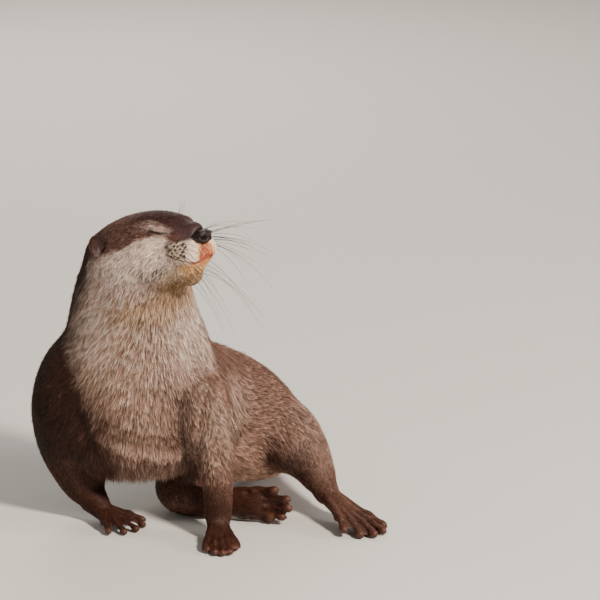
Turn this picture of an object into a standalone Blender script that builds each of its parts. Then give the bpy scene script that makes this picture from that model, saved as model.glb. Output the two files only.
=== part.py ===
"""Asian small-clawed otter, life size, basking with its head raised: a still model in one pose.

The otter props its chest on both forelegs, turns its head to its left and sits on its right hip,
with both hind feet brought forward and the tail laid on the floor behind it. The body is modelled
whole from oval tubes and ellipsoids, melted together, and then parted with thin cuts where a
person would name its parts. Nothing moves.

Frame: metres, +Z up, the floor at z = 0. The chest faces -Y and the hips lie towards +X, +Y.
Sizes and places below are in millimetres.
"""

import math

import bmesh
import bpy
from mathutils import Matrix, Vector
from mathutils.bvhtree import BVHTree

MM = 0.001
GAP = 0.4  # the width of each parting cut, and the room left round an inset piece
VOXEL = 1.7  # the grid that melts the body's forms into one surface
BODY_FACES = 4100  # triangles left in the whole body before it is parted
LEG_FACES = 560  # and in the tucked right hind leg

SHARP_EDGE = math.radians(38)  # faces that meet at more than this show a crisp edge
SIDES = 12  # corners of each oval ring
RING_SHRINK = (4 + 2 * math.cos(2 * math.pi / SIDES)) / 6  # what subdivision does to its radius

# ---------------------------------------------------------------- the pose and the proportions

# The head's own frame: u forward to the nose, v to its left, w up. Its zero is between the ears.
HEAD_AT = Vector((-64, 4, 223))
HEAD_YAW = -30  # degrees from +X, towards the chest's side
HEAD_PITCH = 12  # nose up
# u, half width, top, bottom: the skull and muzzle from the nape to the lips
SKULL = (
    (-30, 24, 10, -30),
    (-14, 33, 19, -34),
    (3, 38.5, 27, -36),
    (22, 39.5, 30.5, -36),
    (40, 35, 30, -35),
    (53, 28, 25, -34),
    (63, 21, 18, -31),
    (72, 15, 11, -27),
    (78, 9, 5, -21),
)
NOSE_AT, NOSE_SIZE = (76.5, 0, 4.5), (7.5, 10.5, 8)
NOSTRIL_AT, NOSTRIL_SIZE = (82, 5.2, 3.5), (4, 2.3, 2.8)
EYE_AT, EYE_SIZE = (52, 15), (7.5, 3.4, 5)  # where along and up the skin, and the closed lids' size
EYE_SLOPE = -18  # degrees: the slit falls towards the nose
EYE_DEPTH = 1.6  # how far its centre lies under the skin
EAR_AT, EAR_SIZE = (0, 35, 12), (3.4, 8, 9.5)
EAR_TURN = -50  # degrees: the cup opens forwards and out
CUP_OUT, CUP_SIZE = 2.4, (3.2, 6.1, 7.4)  # how far off the ear's middle its cup lies

# x, y, z, half width, half depth: from under the jaw down to the breast
NECK = (
    (-54, 2, 228, 36, 36),
    (-56, 4, 208, 43.5, 43),
    (-57, 8, 184, 49.5, 47),
    (-58, 10, 158, 54, 51),
    (-57, 8, 128, 60, 56),
    (-55, 2, 96, 63, 57),
    (-53, -4, 66, 58, 52),
    (-51, -7, 38, 45, 39),
)
# x, y, z, half width, half height: from the breast back to the rump
TRUNK = (
    (-66, -6, 100, 44, 44),
    (-46, 14, 95, 58, 55),
    (-20, 38, 81, 60, 56),
    (8, 58, 68, 58, 57),
    (33, 76, 53, 54, 51),
    (51, 92, 36.5, 43, 39),
    (61, 105, 28, 30, 29),
)
TAIL = (
    (40, 92, 27, 28, 26),
    (60, 124, 20, 24, 21),
    (70, 158, 15, 19.5, 16),
    (67, 196, 11.5, 16, 12.5),
    (48, 232, 9, 13, 10),
    (17, 260, 7, 10, 8),
    (-20, 278, 5.5, 7.5, 6.5),
    (-48, 286, 3.5, 4.5, 4.5),
)
# x, y, z, half width, half depth: each leg from where it leaves the body to the wrist or ankle
RIGHT_FORELEG = (
    (-78, 10, 142, 32, 32),
    (-96, 8, 120, 40, 40),
    (-106, 4, 92, 38.5, 41),
    (-107, 2, 64, 33, 35),
    (-103, 0, 40, 24, 26),
    (-97, -6, 24, 17.5, 17.5),
    (-89, -14, 16, 13.5, 11.5),
)
LEFT_FORELEG = (
    (-16, -8, 118, 28, 30),
    (-3, -26, 96, 25, 27),
    (7, -38, 74, 19, 21),
    (11, -46, 52, 14.5, 15),
    (12, -52, 34, 12.5, 12.5),
    (12, -57, 19, 12, 11),
    (12, -62, 11, 11.5, 9),
)
LEFT_HIND_LEG = (
    (50, 72, 48, 38, 36),
    (64, 50, 52, 32, 32),
    (76, 28, 50, 26, 26),
    (87, 12, 41, 19.5, 19),
    (94, 0, 31, 15, 14.5),
    (98, -8, 22, 13.5, 12),
)
RIGHT_HIND_LEG = (
    (30, 50, 36, 30, 30),
    (4, 34, 31, 29, 28),
    (-18, 20, 24, 24, 23),
    (-30, 8, 19, 18, 18),
    (-22, -5, 15.5, 13.5, 15),
    (-6, -10, 14, 11, 13.5),
    (8, -11, 14, 10, 13),
)

# Each foot: where the wrist or ankle meets it, its turn about +Z, its pitch and its roll in degrees
RIGHT_PAW = ((-87, -18, 11), -40, 8, 0)
LEFT_PAW = ((12, -60, 11), -84, 8, 0)
LEFT_FOOT = ((98, -8, 22), -52, 17, -8)
RIGHT_FOOT = ((4, -11, 15.5), -14, 0, -84)

# Where the body is parted: a point and the way the cut faces
HEAD_FROM_NECK = ((-56, -2, 202), (0.19, -0.11, 0.975))
NECK_FROM_CHEST = ((-58, 8, 158), (0, 0, 1))
CHEST_FROM_BELLY = ((-6, 48, 74), (0.79, 0.56, -0.42))
BELLY_FROM_HIPS = ((28, 72, 54), (0.74, 0.55, -0.40))
# and along the tail and legs, between which two stations of the table and how far along
TAIL_CUTS = ((1, 0.2), (3, 0.5), (5, 0.4))
FORELEG_CUTS = {"elbow": (3, 0.3), "wrist": (5, 0.5)}
LEFT_HIND_LEG_CUTS = {"knee": (2, 0.4), "ankle": (4, 0.5)}
RIGHT_HIND_LEG_CUTS = {"ankle": (5, 0.5)}

# What each kind of part looks like: its colour and its roughness, the coat's shades and the bare skin's
BROWN_COAT = ((0.085, 0.048, 0.034), 0.62)
GREY_COAT = ((0.30, 0.215, 0.165), 0.68)
PALE_COAT = ((0.50, 0.41, 0.345), 0.7)
BARE_SKIN = ((0.12, 0.058, 0.038), 0.5)
NOSE_SKIN = ((0.022, 0.018, 0.019), 0.34)
LOOKS = {
    "nose": NOSE_SKIN,
    "eye": ((0.05, 0.03, 0.024), 0.55),
    "muzzle": PALE_COAT,
    "jaw": PALE_COAT,
    "neck": GREY_COAT,
    "chest": GREY_COAT,
    "belly": ((0.19, 0.125, 0.095), 0.66),
    "forepaw": BARE_SKIN,
    "hind_foot": BARE_SKIN,
    "": BROWN_COAT,
}

# How much fatter than a leg the shape is that takes it from the body, and what goes round its foot
ROUND_LEG = 3
ROUND_FACES = 220
ROUND_PAW = (26, 0, 0), (46, 40, 18)
ROUND_FOOT = (36, 0, -2), (54, 40, 22)
# in the head's frame, two points of each plane seen from its side (u, w)
MUZZLE_CUT = ((48, -40), (66, 25))
MOUTH_CUT = ((56, -5), (73, -13))


# ---------------------------------------------------------------- tools


def degrees(*angles):
    return [math.radians(a) for a in angles]


def frame_matrix(at, yaw=0, pitch=0, roll=0):
    """A frame whose +X is turned about +Z by yaw and lifted by pitch, then rolled about itself."""
    yaw, pitch, roll = degrees(yaw, pitch, roll)
    turn = Matrix.Rotation(yaw, 4, "Z") @ Matrix.Rotation(-pitch, 4, "Y") @ Matrix.Rotation(roll, 4, "X")
    return Matrix.Translation(Vector(at)) @ turn


def link(mesh, name):
    made = bpy.data.objects.new(name, mesh)
    bpy.context.scene.collection.objects.link(made)
    return made


def oval_tube(name, stations, up=(0, 0, 1), matrix=None, levels=2):
    """A soft closed limb: an oval ring across each station (x, y, z, half width, half height)."""
    places = [Vector(s[:3]) for s in stations]
    shape = bmesh.new()
    rings = []
    for i, station in enumerate(stations):
        ahead = places[min(i + 1, len(places) - 1)] - places[max(i - 1, 0)]
        aside = ahead.cross(Vector(up)).normalized() * station[3] / RING_SHRINK
        above = aside.cross(ahead).normalized() * station[4] / RING_SHRINK
        ring = []
        for k in range(SIDES):
            turn = 2 * math.pi * k / SIDES
            ring.append(shape.verts.new(places[i] + aside * math.cos(turn) + above * math.sin(turn)))
        rings.append(ring)
    for first, second in zip(rings, rings[1:]):
        for k in range(SIDES):
            following = (k + 1) % SIDES
            shape.faces.new((first[k], first[following], second[following], second[k]))
    shape.faces.new(rings[0])
    shape.faces.new(reversed(rings[-1]))
    bmesh.ops.recalc_face_normals(shape, faces=shape.faces)
    mesh = bpy.data.meshes.new(name)
    shape.to_mesh(mesh)
    shape.free()
    if matrix:
        mesh.transform(matrix)
    made = link(mesh, name)
    smooth = made.modifiers.new("round", "SUBSURF")
    smooth.levels = smooth.render_levels = levels
    return made


def ellipsoid(name, centre, radii, matrix=None, tilt=(0, 0, 0), fine=24):
    """An ellipsoid at a place in the frame that matrix gives."""
    shape = bmesh.new()
    bmesh.ops.create_uvsphere(shape, u_segments=fine, v_segments=fine // 2, radius=1)
    mesh = bpy.data.meshes.new(name)
    shape.to_mesh(mesh)
    shape.free()
    place = frame_matrix(centre, *tilt) @ Matrix.Diagonal((*radii, 1))
    mesh.transform(matrix @ place if matrix else place)
    return link(mesh, name)


def evaluated_mesh(thing):
    graph = bpy.context.evaluated_depsgraph_get()
    return bpy.data.meshes.new_from_object(thing.evaluated_get(graph))


def bake(thing):
    """The object with its modifiers applied."""
    mesh = evaluated_mesh(thing)
    thing.modifiers.clear()
    thing.data = mesh
    return thing


def joined(name, pieces):
    """One object that holds the pieces' meshes, which may overlap."""
    shape = bmesh.new()
    for piece in pieces:
        shape.from_mesh(evaluated_mesh(piece))
        bpy.data.objects.remove(piece)
    mesh = bpy.data.meshes.new(name)
    shape.to_mesh(mesh)
    shape.free()
    return link(mesh, name)


def split(thing, point, facing, names):
    """Parts a closed mesh by a plane, with GAP between the two, each closed by a flat face.
    The first name is the side that the plane faces."""
    facing = Vector(facing).normalized()
    made = []
    for name, side in zip(names, (1, -1)):
        shape = bmesh.new()
        shape.from_mesh(thing.data)
        everything = shape.verts[:] + shape.edges[:] + shape.faces[:]
        at = Vector(point) + facing * side * GAP / 2
        bmesh.ops.bisect_plane(
            shape, geom=everything, dist=0.001, plane_co=at, plane_no=-facing * side, clear_outer=True
        )
        rim = [edge for edge in shape.edges if edge.is_boundary]
        bmesh.ops.holes_fill(shape, edges=rim)
        bmesh.ops.triangulate(shape, faces=[f for f in shape.faces if len(f.verts) > 4])
        mesh = bpy.data.meshes.new(name)
        shape.to_mesh(mesh)
        shape.free()
        made.append(link(mesh, name))
    bpy.data.objects.remove(thing)
    for piece, name in zip(made, names):
        piece.name = name
    return made


def swollen(thing, name, by):
    """A copy of the object, grown outwards by a distance."""
    copy = link(thing.data.copy(), name)
    grow = copy.modifiers.new("grow", "DISPLACE")
    grow.strength = by
    grow.mid_level = 0
    return bake(copy)


def boolean(thing, operation, other):
    """The object cut by the other, or kept only inside it."""
    change = thing.modifiers.new("change", "BOOLEAN")
    change.operation = operation
    change.object = other
    return bake(thing)


def largest_body(thing):
    """The object without the crumbs that a cut may leave."""
    shape = bmesh.new()
    shape.from_mesh(thing.data)
    unseen = set(shape.verts)
    bodies = []
    while unseen:
        body, edge_of_body = set(), [unseen.pop()]
        while edge_of_body:
            vert = edge_of_body.pop()
            body.add(vert)
            near = {edge.other_vert(vert) for edge in vert.link_edges} & unseen
            unseen -= near
            edge_of_body.extend(near)
        bodies.append(body)
    bodies.sort(key=len)
    crumbs = [vert for body in bodies[:-1] for vert in body]
    bmesh.ops.delete(shape, geom=crumbs, context="VERTS")
    shape.to_mesh(thing.data)
    shape.free()
    return thing


# ---------------------------------------------------------------- head


def head_matrix():
    return frame_matrix(HEAD_AT, HEAD_YAW, HEAD_PITCH)


def both_sides(place):
    """The place on the left and its mirror on the right, with +1 and -1."""
    u, v, w = place
    return ((1, (u, v, w)), (-1, (u, -v, w)))


def head_forms():
    """Skull, cheeks, brow, whisker pads and chin, in the head's own frame."""
    head = head_matrix()
    skull = [(u, 0, (top + bottom) / 2, wide, (top - bottom) / 2) for u, wide, top, bottom in SKULL]
    forms = [oval_tube("skull", skull, matrix=head)]
    forms.append(ellipsoid("bridge", (64, 0, 8), (15, 12, 9), head, tilt=(0, 28, 0)))
    forms.append(ellipsoid("chin", (60, 0, -24), (14, 13.5, 10), head, tilt=(0, 12, 0)))
    forms.append(ellipsoid("nose_root", (73.5, 0, 4), (8, 11.5, 9.5), head))
    for side, place in both_sides((63, 11, -6)):
        forms.append(ellipsoid("whisker_pad", place, (17, 12, 12.5), head, tilt=(side * 12, 0, 0)))
    for side, place in both_sides((16, 20, -6)):
        forms.append(ellipsoid("cheek", place, (34, 20, 25), head, tilt=(side * -10, 4, 0)))
    for side, place in both_sides((43, 15, 13)):
        forms.append(ellipsoid("brow", place, (18, 11, 10), head, tilt=(side * -18, 12, 0)))
    return forms


def closed_eye(name, flesh, side):
    """The mound of two shut lids, thin across the skin and long along the slit."""
    head = head_matrix()
    mesh = flesh.data
    skin = BVHTree.FromPolygons([v.co for v in mesh.vertices], [p.vertices for p in mesh.polygons])
    u, w = EYE_AT
    inwards = head.to_3x3() @ Vector((0, -side, 0))
    point, normal, _, _ = skin.ray_cast(head @ Vector((u, side * 100, w)), inwards)
    slope = math.radians(EYE_SLOPE)
    slit = head.to_3x3() @ Vector((math.cos(slope), 0, math.sin(slope)))
    slit = (slit - normal * slit.dot(normal)).normalized()
    place = Matrix((slit, normal, slit.cross(normal))).transposed().to_4x4()
    place.translation = point - normal * EYE_DEPTH
    return ellipsoid(name, (0, 0, 0), EYE_SIZE, place, fine=12)


def inset_pieces(flesh):
    """The nose pad, the closed eyes and the ears, each a piece of its own, and which part it sits in."""
    head = head_matrix()
    pieces = [(ellipsoid("nose", NOSE_AT, NOSE_SIZE, head, fine=14), "muzzle")]
    for side, name in ((1, "left"), (-1, "right")):
        pieces.append((closed_eye("eye_" + name, flesh, side), "head"))
        u, v, w = EAR_AT
        tilt = (side * -EAR_TURN, 0, 0)
        ear = ellipsoid("ear_" + name, (u, side * v, w), EAR_SIZE, head, tilt, fine=12)
        pieces.append((ear, "head"))
    return pieces


def hollowed(piece, side):
    """Nostrils in the nose, and the cup of an ear. The closed eyes stay whole."""
    head = head_matrix()
    hollows = []
    if piece.name == "nose":
        u, v, w = NOSTRIL_AT
        for out in (1, -1):
            hollows.append(ellipsoid("nostril", (u, out * v, w), NOSTRIL_SIZE, head, fine=8))
    elif piece.name.startswith("ear"):
        u, v, w = EAR_AT
        turn = side * -EAR_TURN
        out = Vector((math.cos(math.radians(turn)), math.sin(math.radians(turn)), 0)) * CUP_OUT
        place = (u + out.x, side * v + out.y, w)
        hollows.append(ellipsoid("cup", place, CUP_SIZE, head, (turn, 0, 0), fine=12))
    for hollow in hollows:
        boolean(piece, "DIFFERENCE", hollow)
        bpy.data.objects.remove(hollow)
    return piece


# ---------------------------------------------------------------- feet


def foot_forms(name, place, palm, toes, toe_length, toe_radius, fan):
    """A foot on its own frame: +X to the toes and +Z its back. palm is length, half width, half height."""
    at, yaw, pitch, roll = place
    # a positive pitch here tips the toes down
    frame = frame_matrix(at, yaw, -pitch, roll)
    length, wide, high = palm
    forms = [
        oval_tube(
            name + "_palm",
            (
                (-10, 0, 1, wide * 0.72, high * 1.1),
                (2, 0, 0, wide * 0.78, high * 1.1),
                (length * 0.45, 0, -1, wide * 0.92, high),
                (length * 0.85, 0, -2, wide, high * 0.86),
                (length * 1.1, 0, -3, wide * 0.86, high * 0.62),
            ),
            matrix=frame,
        )
    ]
    for i, share in enumerate(toes):
        across = 1 - 2 * i / (len(toes) - 1)
        turn = math.radians(across * fan)
        reach = toe_length * share
        root = Vector((length * (0.98 - 0.2 * across * across), across * wide * 0.8, -1.5))
        ahead = Vector((math.cos(turn), math.sin(turn), 0))
        bend = Vector((0, 0, 1))
        points = (
            root - ahead * 6,
            root + ahead * reach * 0.35 + bend * 2.2,
            root + ahead * reach * 0.7 + bend * 0.6,
            root + ahead * reach - bend * 2.0,
        )
        widths = (1.0, 0.9, 0.96, 0.8)
        stations = [(*p, toe_radius * k, toe_radius * k) for p, k in zip(points, widths)]
        forms.append(oval_tube(f"{name}_toe_{i}", stations, matrix=frame, levels=1))
        tip = root + ahead * reach * 0.9 - bend * 2.4
        pad = (toe_radius * 1.15, toe_radius, toe_radius * 0.8)
        forms.append(ellipsoid(f"{name}_pad_{i}", tip, pad, frame, fine=12))
    return forms


def feet_forms(names):
    fore = dict(palm=(21, 13.5, 8), toe_length=24, toe_radius=3.9)
    hind = dict(palm=(43, 14.5, 8.5), toe_length=27, toe_radius=4.5)
    fore_toes, hind_toes = (0.8, 1.0, 1.05, 1.0, 0.75), (0.75, 0.92, 1.05, 1.08, 0.92)
    feet = {
        "right_paw": dict(place=RIGHT_PAW, toes=fore_toes, fan=30, **fore),
        "left_paw": dict(place=LEFT_PAW, toes=fore_toes[::-1], fan=15, **fore),
        "left_foot": dict(place=LEFT_FOOT, toes=hind_toes[::-1], fan=20, **hind),
        "right_foot": dict(place=RIGHT_FOOT, toes=hind_toes, fan=9, **hind),
    }
    return [form for name in names for form in foot_forms(name, **feet[name])]


# ---------------------------------------------------------------- the whole body


def fine_places():
    """The face and the feet, as (centre, radius), softened less and left with more faces."""
    head = head_matrix()
    places = [(head @ Vector((56, 0, 0)), 46)]
    for at, yaw, pitch, roll in (RIGHT_PAW, LEFT_PAW, LEFT_FOOT, RIGHT_FOOT):
        places.append((frame_matrix(at, yaw, -pitch, roll) @ Vector((26, 0, 0)), 40))
    return places


def add_softness(body):
    """A vertex group that is 1 on the trunk and falls towards 0 on the face and the feet."""
    group = body.vertex_groups.new(name="softness")
    places = fine_places()
    for vert in body.data.vertices:
        nearness = min((vert.co - centre).length / radius for centre, radius in places)
        weight = min(1.0, max(0.0, (nearness - 0.75) / 0.6))
        group.add([vert.index], 0.05 + 0.95 * weight, "REPLACE")


def melted(name, forms, soften_rounds, faces):
    """The forms as one closed surface, its creases softened, reduced to about that many faces."""
    body = joined(name, forms)
    remesh = body.modifiers.new("melt", "REMESH")
    remesh.mode = "VOXEL"
    remesh.voxel_size = VOXEL
    bake(body)
    everywhere = body.modifiers.new("even", "SMOOTH")
    everywhere.factor = 0.5
    everywhere.iterations = 7
    bake(body)
    add_softness(body)
    soft = body.modifiers.new("soften", "SMOOTH")
    soft.factor = 0.5
    soft.iterations = soften_rounds
    soft.vertex_group = "softness"
    reduce = body.modifiers.new("reduce", "DECIMATE")
    reduce.ratio = faces / (2 * len(body.data.polygons))
    reduce.vertex_group = "softness"
    reduce.vertex_group_factor = 0.6
    reduce.use_collapse_triangulate = True
    bake(body)
    body.vertex_groups.clear()
    return body


def flat_below(thing):
    """The object with all that dips under the floor cut away flat."""
    name = thing.name
    above, below = split(thing, (0, 0, -GAP / 2), (0, 0, 1), (name + "_above", name + "_below"))
    bpy.data.objects.remove(below)
    above.name = name
    return above


def whole_body():
    forms = [
        oval_tube("neck_form", NECK, up=(0, -1, 0)),
        oval_tube("trunk_form", TRUNK),
        oval_tube("tail_form", TAIL),
        oval_tube("right_foreleg_form", RIGHT_FORELEG, up=(0, -1, 0)),
        oval_tube("left_foreleg_form", LEFT_FORELEG, up=(0, -1, 0)),
        oval_tube("left_hind_leg_form", LEFT_HIND_LEG),
    ]
    forms += head_forms() + feet_forms(("right_paw", "left_paw", "left_foot"))
    return flat_below(melted("body", forms, soften_rounds=60, faces=BODY_FACES))


def tucked_leg():
    forms = [oval_tube("right_hind_leg_form", RIGHT_HIND_LEG)] + feet_forms(("right_foot",))
    return flat_below(melted("right_hind_leg", forms, soften_rounds=20, faces=LEG_FACES))


# ---------------------------------------------------------------- parting


def along(stations, cut):
    """The point and direction of a cut across a table of stations."""
    index, share = cut
    first, second = Vector(stations[index][:3]), Vector(stations[index + 1][:3])
    return first.lerp(second, share), second - first


def head_plane(seen):
    """A plane across the head from two points of it seen from the side, facing up and back."""
    head = head_matrix()
    (u0, w0), (u1, w1) = seen
    along_u, along_w = u1 - u0, w1 - w0
    return head @ Vector((u0, 0, w0)), head.to_3x3() @ Vector((-along_w, 0, along_u))


def taken_out(body, envelope, name):
    """The part of the body inside the envelope, and the rest, with GAP between them."""
    part = boolean(link(body.data.copy(), name), "INTERSECT", envelope)
    room = swollen(envelope, "room", GAP)
    boolean(body, "DIFFERENCE", room)
    bpy.data.objects.remove(room)
    bpy.data.objects.remove(envelope)
    return largest_body(part), largest_body(body)


def leg_envelope(stations, foot, up=(0, 0, 1)):
    """A leg's own tube, fatter, melted with a cushion that holds the whole foot."""
    fatter = [(x, y, z, wide + ROUND_LEG, deep + ROUND_LEG) for x, y, z, wide, deep in stations]
    (at, yaw, pitch, roll), centre, radii = foot
    tube = oval_tube("tube", fatter, up=up)
    cushion = ellipsoid("cushion", centre, radii, frame_matrix(at, yaw, -pitch, roll))
    envelope = joined("envelope", [tube, cushion])
    remesh = envelope.modifiers.new("melt", "REMESH")
    remesh.mode = "VOXEL"
    remesh.voxel_size = 2 * VOXEL
    bake(envelope)
    reduce = envelope.modifiers.new("reduce", "DECIMATE")
    reduce.ratio = ROUND_FACES / (2 * len(envelope.data.polygons))
    reduce.use_collapse_triangulate = True
    return bake(envelope)


def finish(thing):
    """Scales a piece to metres, shades it smooth with crisp cuts, and gives it its colour."""
    thing.data.transform(Matrix.Diagonal((MM, MM, MM, 1)))
    thing.data.shade_smooth()
    thing.data.set_sharp_from_angle(angle=SHARP_EDGE)
    colour, roughness = LOOKS[next(kind for kind in LOOKS if thing.name.startswith(kind))]
    material = bpy.data.materials.new(thing.name)
    material.use_nodes = True
    shader = material.node_tree.nodes["Principled BSDF"]
    shader.inputs["Base Color"].default_value = (*colour, 1)
    shader.inputs["Roughness"].default_value = roughness
    shader.inputs["Metallic"].default_value = 0
    thing.data.materials.clear()
    thing.data.materials.append(material)


def centre(parts):
    """Moves the whole animal so that the middle of its footprint is at zero, and collects its parts."""
    corners = [vert.co for thing in parts for vert in thing.data.vertices]
    middle = [(min(c[i] for c in corners) + max(c[i] for c in corners)) / 2 for i in (0, 1)]
    collection = bpy.data.collections.new("small_clawed_otter")
    bpy.context.scene.collection.children.link(collection)
    for thing in parts:
        thing.data.transform(Matrix.Translation((-middle[0], -middle[1], 0)))
        bpy.context.scene.collection.objects.unlink(thing)
        collection.objects.link(thing)


def main():
    for thing in list(bpy.data.objects):
        bpy.data.objects.remove(thing)
    body = whole_body()
    leg = tucked_leg()
    room = swollen(body, "room", GAP)
    leg = largest_body(boolean(leg, "DIFFERENCE", room))
    bpy.data.objects.remove(room)

    parts = []
    for name, cut in (("right", RIGHT_FORELEG), ("left", LEFT_FORELEG)):
        paw = RIGHT_PAW if name == "right" else LEFT_PAW
        envelope = leg_envelope(cut, (paw, *ROUND_PAW), up=(0, -1, 0))
        limb, body = taken_out(body, envelope, name + "_foreleg")
        hand, limb = split(limb, *along(cut, FORELEG_CUTS["wrist"]), ("forepaw_" + name, "rest"))
        names = ("forearm_" + name, "upper_foreleg_" + name)
        forearm, upper = split(limb, *along(cut, FORELEG_CUTS["elbow"]), names)
        parts += [hand, forearm, upper]
    cut = LEFT_HIND_LEG
    envelope = leg_envelope(cut, (LEFT_FOOT, *ROUND_FOOT))
    limb, body = taken_out(body, envelope, "left_hind_leg")
    cuts = LEFT_HIND_LEG_CUTS
    foot, limb = split(limb, *along(cut, cuts["ankle"]), ("hind_foot_left", "rest"))
    shin, thigh = split(limb, *along(cut, cuts["knee"]), ("shin_left", "thigh_left"))
    parts += [foot, shin, thigh]
    cut = along(RIGHT_HIND_LEG, RIGHT_HIND_LEG_CUTS["ankle"])
    foot, shin = split(leg, *cut, ("hind_foot_right", "shin_right"))
    parts += [foot, shin]

    head, body = split(body, *HEAD_FROM_NECK, ("head", "rest"))
    neck, body = split(body, *NECK_FROM_CHEST, ("neck", "rest"))
    belly, chest = split(body, *CHEST_FROM_BELLY, ("rest", "chest"))
    hips, belly = split(belly, *BELLY_FROM_HIPS, ("hips", "belly"))
    parts += [neck, chest, belly]
    tail, hips = split(hips, *along(TAIL, TAIL_CUTS[0]), ("rest", "hips"))
    parts.append(hips)
    for cut, name in zip(TAIL_CUTS[1:], ("tail_base", "tail_middle")):
        tail, piece = split(tail, *along(TAIL, cut), ("rest", name))
        parts.append(piece)
    tail.name = "tail_tip"
    parts.append(tail)

    head, muzzle = split(head, *head_plane(MUZZLE_CUT), ("head", "muzzle"))
    muzzle, jaw = split(muzzle, *head_plane(MOUTH_CUT), ("muzzle", "jaw"))
    flesh = {"head": head, "muzzle": muzzle}
    for piece, owner in inset_pieces(flesh["head"]):
        room = swollen(piece, "room", GAP)
        boolean(flesh[owner], "DIFFERENCE", room)
        bpy.data.objects.remove(room)
        parts.append(hollowed(piece, 1 if piece.name.endswith("left") else -1))
    parts += [head, muzzle, jaw]

    for thing in parts:
        finish(largest_body(thing))
    centre(parts)


main()
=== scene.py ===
"""A still, life-size small-clawed otter: its skin, coat, nose, whiskers and nails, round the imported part.

Positions are in metres in the part's own frame: +Z up, the chest towards -Y. The face is measured in
millimetres in the head's frame: u forward to the nose, v to the animal's left, w up, zero between the ears.
"""

import math

import bmesh
import bpy
import numpy as np
from mathutils import Matrix, Vector
from mathutils.bvhtree import BVHTree
from mathutils.kdtree import KDTree


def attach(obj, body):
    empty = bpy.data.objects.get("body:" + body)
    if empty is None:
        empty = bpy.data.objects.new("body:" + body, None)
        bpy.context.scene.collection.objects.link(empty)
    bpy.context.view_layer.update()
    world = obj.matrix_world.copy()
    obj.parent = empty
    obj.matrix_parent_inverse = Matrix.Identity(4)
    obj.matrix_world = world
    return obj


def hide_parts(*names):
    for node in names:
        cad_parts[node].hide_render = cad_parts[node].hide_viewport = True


MM = 0.001
FLOOR_GAP = 0.2 * MM  # neither skin nor hair comes nearer to the floor
SKIN_VOXEL, FOOT_VOXEL = 0.00115, 0.0006
SKIN_TRIANGLES = 190000
TUFTS = 246000  # in the whole coat
PIECE_TUFTS = 33000  # at most in one piece of the coat, at 6 triangles each
rng = np.random.default_rng(7)

# ---------------- the head's frame

HEAD_AT = np.array((-0.06655, -0.0863, 0.223))
HEAD_YAW, HEAD_PITCH = math.radians(-30), math.radians(12)
HEAD_TURN = np.array(Matrix.Rotation(HEAD_YAW, 3, "Z") @ Matrix.Rotation(-HEAD_PITCH, 3, "Y"))

# the left ear's and the nose pad's places and half sizes, and how many degrees the ear turns out
EAR_AT, EAR_SIZE, EAR_TURN = (0.2, 36.0, 12.2), (7.6, 9.6), 36
NOSE_AT, NOSE_SIZE = (76.3, 0, 5.4), (7.6, 10.7, 6.2)
# the slit between the closed lids, and the line of the mouth, from its corner round to the front: u, |v|, w
EYE_SLIT = (
    (44.5, 25.4, 18.0), (47.5, 25.3, 17.5), (50.5, 25.0, 16.5), (54.5, 23.6, 15.2), (58.0, 20.6, 14.2),
    (60.0, 18.6, 13.9),
)
MOUTH = (
    (56.0, 24.6, -2.0), (58.7, 24.3, -3.6), (62.5, 23.6, -6.2), (67.0, 22.8, -8.2), (71.2, 21.0, -10.4),
    (74.3, 17.6, -12.2), (76.2, 13.0, -12.9), (77.2, 8.0, -12.4), (77.6, 3.6, -11.0), (77.7, 0.0, -10.2),
)
# the edge between the dark crown and the pale cheek, as w at each u, and down behind the ear, as u at each w
CROWN_EDGE_U = (-12, -4, 4, 12, 19, 27, 36, 44, 48, 54, 58.5, 61, 65, 72, 80)
CROWN_EDGE_W = (3, 4, 5.5, 6.2, 7, 9, 11.5, 14, 15.2, 13.6, 11.5, 8.5, 6, 3, 1)
NAPE_EDGE_W = (-60, -44, -36, -23, -9.5, 3, 10)
NAPE_EDGE_U = (-34, -28, -24.4, -17.7, -11, -8, -6)
# the whiskers' places on the pad, and the dark spots low on the cheek: u, w
WHISKER_ROOTS = (
    (58.2, 4.4), (60.6, 1.6), (59.0, -1.0), (61.6, 5.8), (63.4, 3.4), (62.0, -1.6), (64.6, 0.6),
    (66.4, 3.0), (65.0, 6.2), (61.0, -4.2), (64.2, -4.0), (66.6, -2.0), (68.4, 0.8), (69.4, 3.6),
    (67.0, -5.6), (69.0, -3.8), (70.8, -1.4), (71.8, 1.4), (71.4, -5.2),
)
CHEEK_SPOTS = (
    (40.0, -9.9), (42.9, -13.2), (48.0, -12.0), (46.4, -17.2), (51.6, -15.6), (41.5, -18.2), (37.4, -14),
)
# Folds of the body as seen from the front: the line as x, z in millimetres, its depth and width, how far the
# skin swells beside it, and on which side of it
FOLDS = (
    (((4, 122), (-2, 98), (-7, 77), (-9, 58)), 3.4, 3.4, 0.8, (1, 0, 0)),
    (((-92, 94), (-76, 88), (-56, 81), (-30, 76), (-14, 73)), 2.6, 5.0, 3.6, (0, 0, -1)),
    (((-106, 108), (-95, 86), (-86, 66), (-79, 50)), 2.8, 5.0, 0.8, (-1, 0, 0)),
)
# where the neck widens to the left shoulder, how far round that place, and by how many millimetres
SHOULDER_SWELL = ((-0.004, -0.085, 0.138), (0.03, 0.05, 0.030), 6.5)
# the point on the floor that the tail curves round
TAIL_CENTRE = (-0.012, 0.066)


def to_head(points):
    """Points of the part's frame as u, v, w in millimetres."""
    return (np.asarray(points) - HEAD_AT) @ HEAD_TURN / MM


def from_head(points):
    return np.asarray(points, float) * MM @ HEAD_TURN.T + HEAD_AT


def head_vector(vectors):
    return np.asarray(vectors, float) @ HEAD_TURN.T


# ---------------- small tools


def step(low, high, value):
    """0 below low and 1 above high, with a smooth rise between."""
    x = np.clip((value - low) / (high - low), 0, 1)
    return x * x * (3 - 2 * x)


def mix(first, second, share):
    share = np.asarray(share)[..., None]
    return np.asarray(first) * (1 - share) + np.asarray(second) * share


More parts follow.
